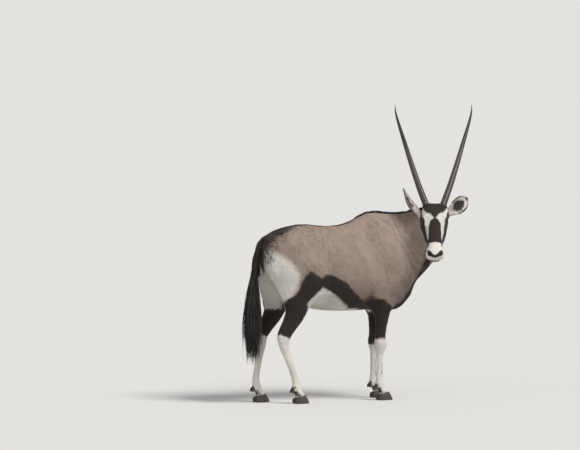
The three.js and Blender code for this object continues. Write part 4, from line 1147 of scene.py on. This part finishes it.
def makeEye(which):
    # smooth ball with a bulging cornea, a dark brown iris and a long level pupil
    sign, centre, out = eyePlace(which)
    level = unit(np.cross(out, upWay))
    up = np.cross(level, out)
    deselect()
    bpy.ops.mesh.primitive_uv_sphere_add(segments=64, ring_count=40, radius=1)
    eye = newest("eyeball_" + which)
    ball = pointsOf(eye.data)
    reach = eyePlan["radius"] * (1 + 0.04 * smoothStep(0.72, 1.0, ball[:, 2]))
    outward = level * ball[:, :1] + up * ball[:, 1:2] + out * ball[:, 2:]
    putPoints(eye.data, centre + outward * reach[:, None])
    faceOutward(eye)
    pupil = 1 - smoothStep(0.9, 1.1, np.hypot(ball[:, 0] / 0.40, ball[:, 1] / 0.17)) * (ball[:, 2] > 0)
    rim = smoothStep(0.55, 0.75, np.hypot(ball[:, 0], ball[:, 1]))
    addField(eye.data, "irisField", (1 - pupil) * (1 - rim))
    coverWith(eye, eyeMaterial)
    return eye


eyePieces = [makeEye("left"), makeEye("right")]
print("horns, eyes and hooves finished")

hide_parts(*fleshNodes)
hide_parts(*hoofNodes)
for piece, name in ((hornPieces[0], "horn_left"), (hornPieces[1], "horn_right"), (earPieces[0], "ear_left"),
                    (earPieces[2], "ear_right"), (eyePieces[0], "eye_left"), (eyePieces[1], "eye_right"),
                    (tailHair, "tail")):
    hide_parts(name)
for piece in [skin, *coatPieces, *earPieces, *lidPieces, *eyePieces, hooves, dewclaws, tailCoat, tailStem,
              tailHair, mane, *hornPieces]:
    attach(piece, "root")

# floor, light and camera
stagePlan = dict(floor=(0.62, 0.61, 0.59), sky=(0.93, 0.94, 0.96), world=0.50, key=2.9, fill=0.5, distance=60.0,
                 azimuth=-25, elevation=4, aim=(-0.4433, 0.2033, 1.1237), viewWidth=3.7227)
bpy.ops.object.select_all(action="DESELECT")
bpy.ops.mesh.primitive_plane_add(size=600, location=(0, 0, 0))
floor = newest("floor")
floorMaterial, _, floorShader = newMaterial("paleFloor", 0.9, 0.1)
floorShader.inputs["Base Color"].default_value = (*stagePlan["floor"], 1)
floor.data.materials.append(floorMaterial)

scene = bpy.context.scene
scene.world = bpy.data.worlds.new("studio")
scene.world.use_nodes = True
sky = scene.world.node_tree.nodes["Background"]
sky.inputs["Color"].default_value = (*stagePlan["sky"], 1)
sky.inputs["Strength"].default_value = stagePlan["world"]
scene.view_settings.view_transform = "Standard"


def addLight(name, strength, softness, way):
    data = bpy.data.lights.new(name, "SUN")
    data.energy = strength
    data.angle = math.radians(softness)
    light = bpy.data.objects.new(name, data)
    down = math.atan2(math.hypot(way[0], way[1]), -way[2])
    light.rotation_euler = (down, 0, math.atan2(way[1], way[0]) - math.pi / 2)
    scene.collection.objects.link(light)


addLight("key", stagePlan["key"], 24, (-0.45, 0.75, -1.1))
addLight("fill", stagePlan["fill"], 60, (0.9, 0.5, -0.5))

azimuth, elevation = math.radians(stagePlan["azimuth"]), math.radians(stagePlan["elevation"])
ahead = np.array([-math.sin(azimuth), math.cos(azimuth), 0]) * math.cos(elevation) - upWay * math.sin(elevation)
aim = np.array(stagePlan["aim"])
camera = bpy.data.cameras.new("camera")
camera.sensor_width = 36
camera.lens = camera.sensor_width * stagePlan["distance"] / stagePlan["viewWidth"]
camera.clip_end = 1000
cameraPiece = bpy.data.objects.new("camera", camera)
cameraPiece.location = aim - ahead * stagePlan["distance"]
cameraPiece.rotation_euler = (math.pi / 2 - elevation, 0, azimuth)
scene.collection.objects.link(cameraPiece)
scene.camera = cameraPiece
print("stage set")
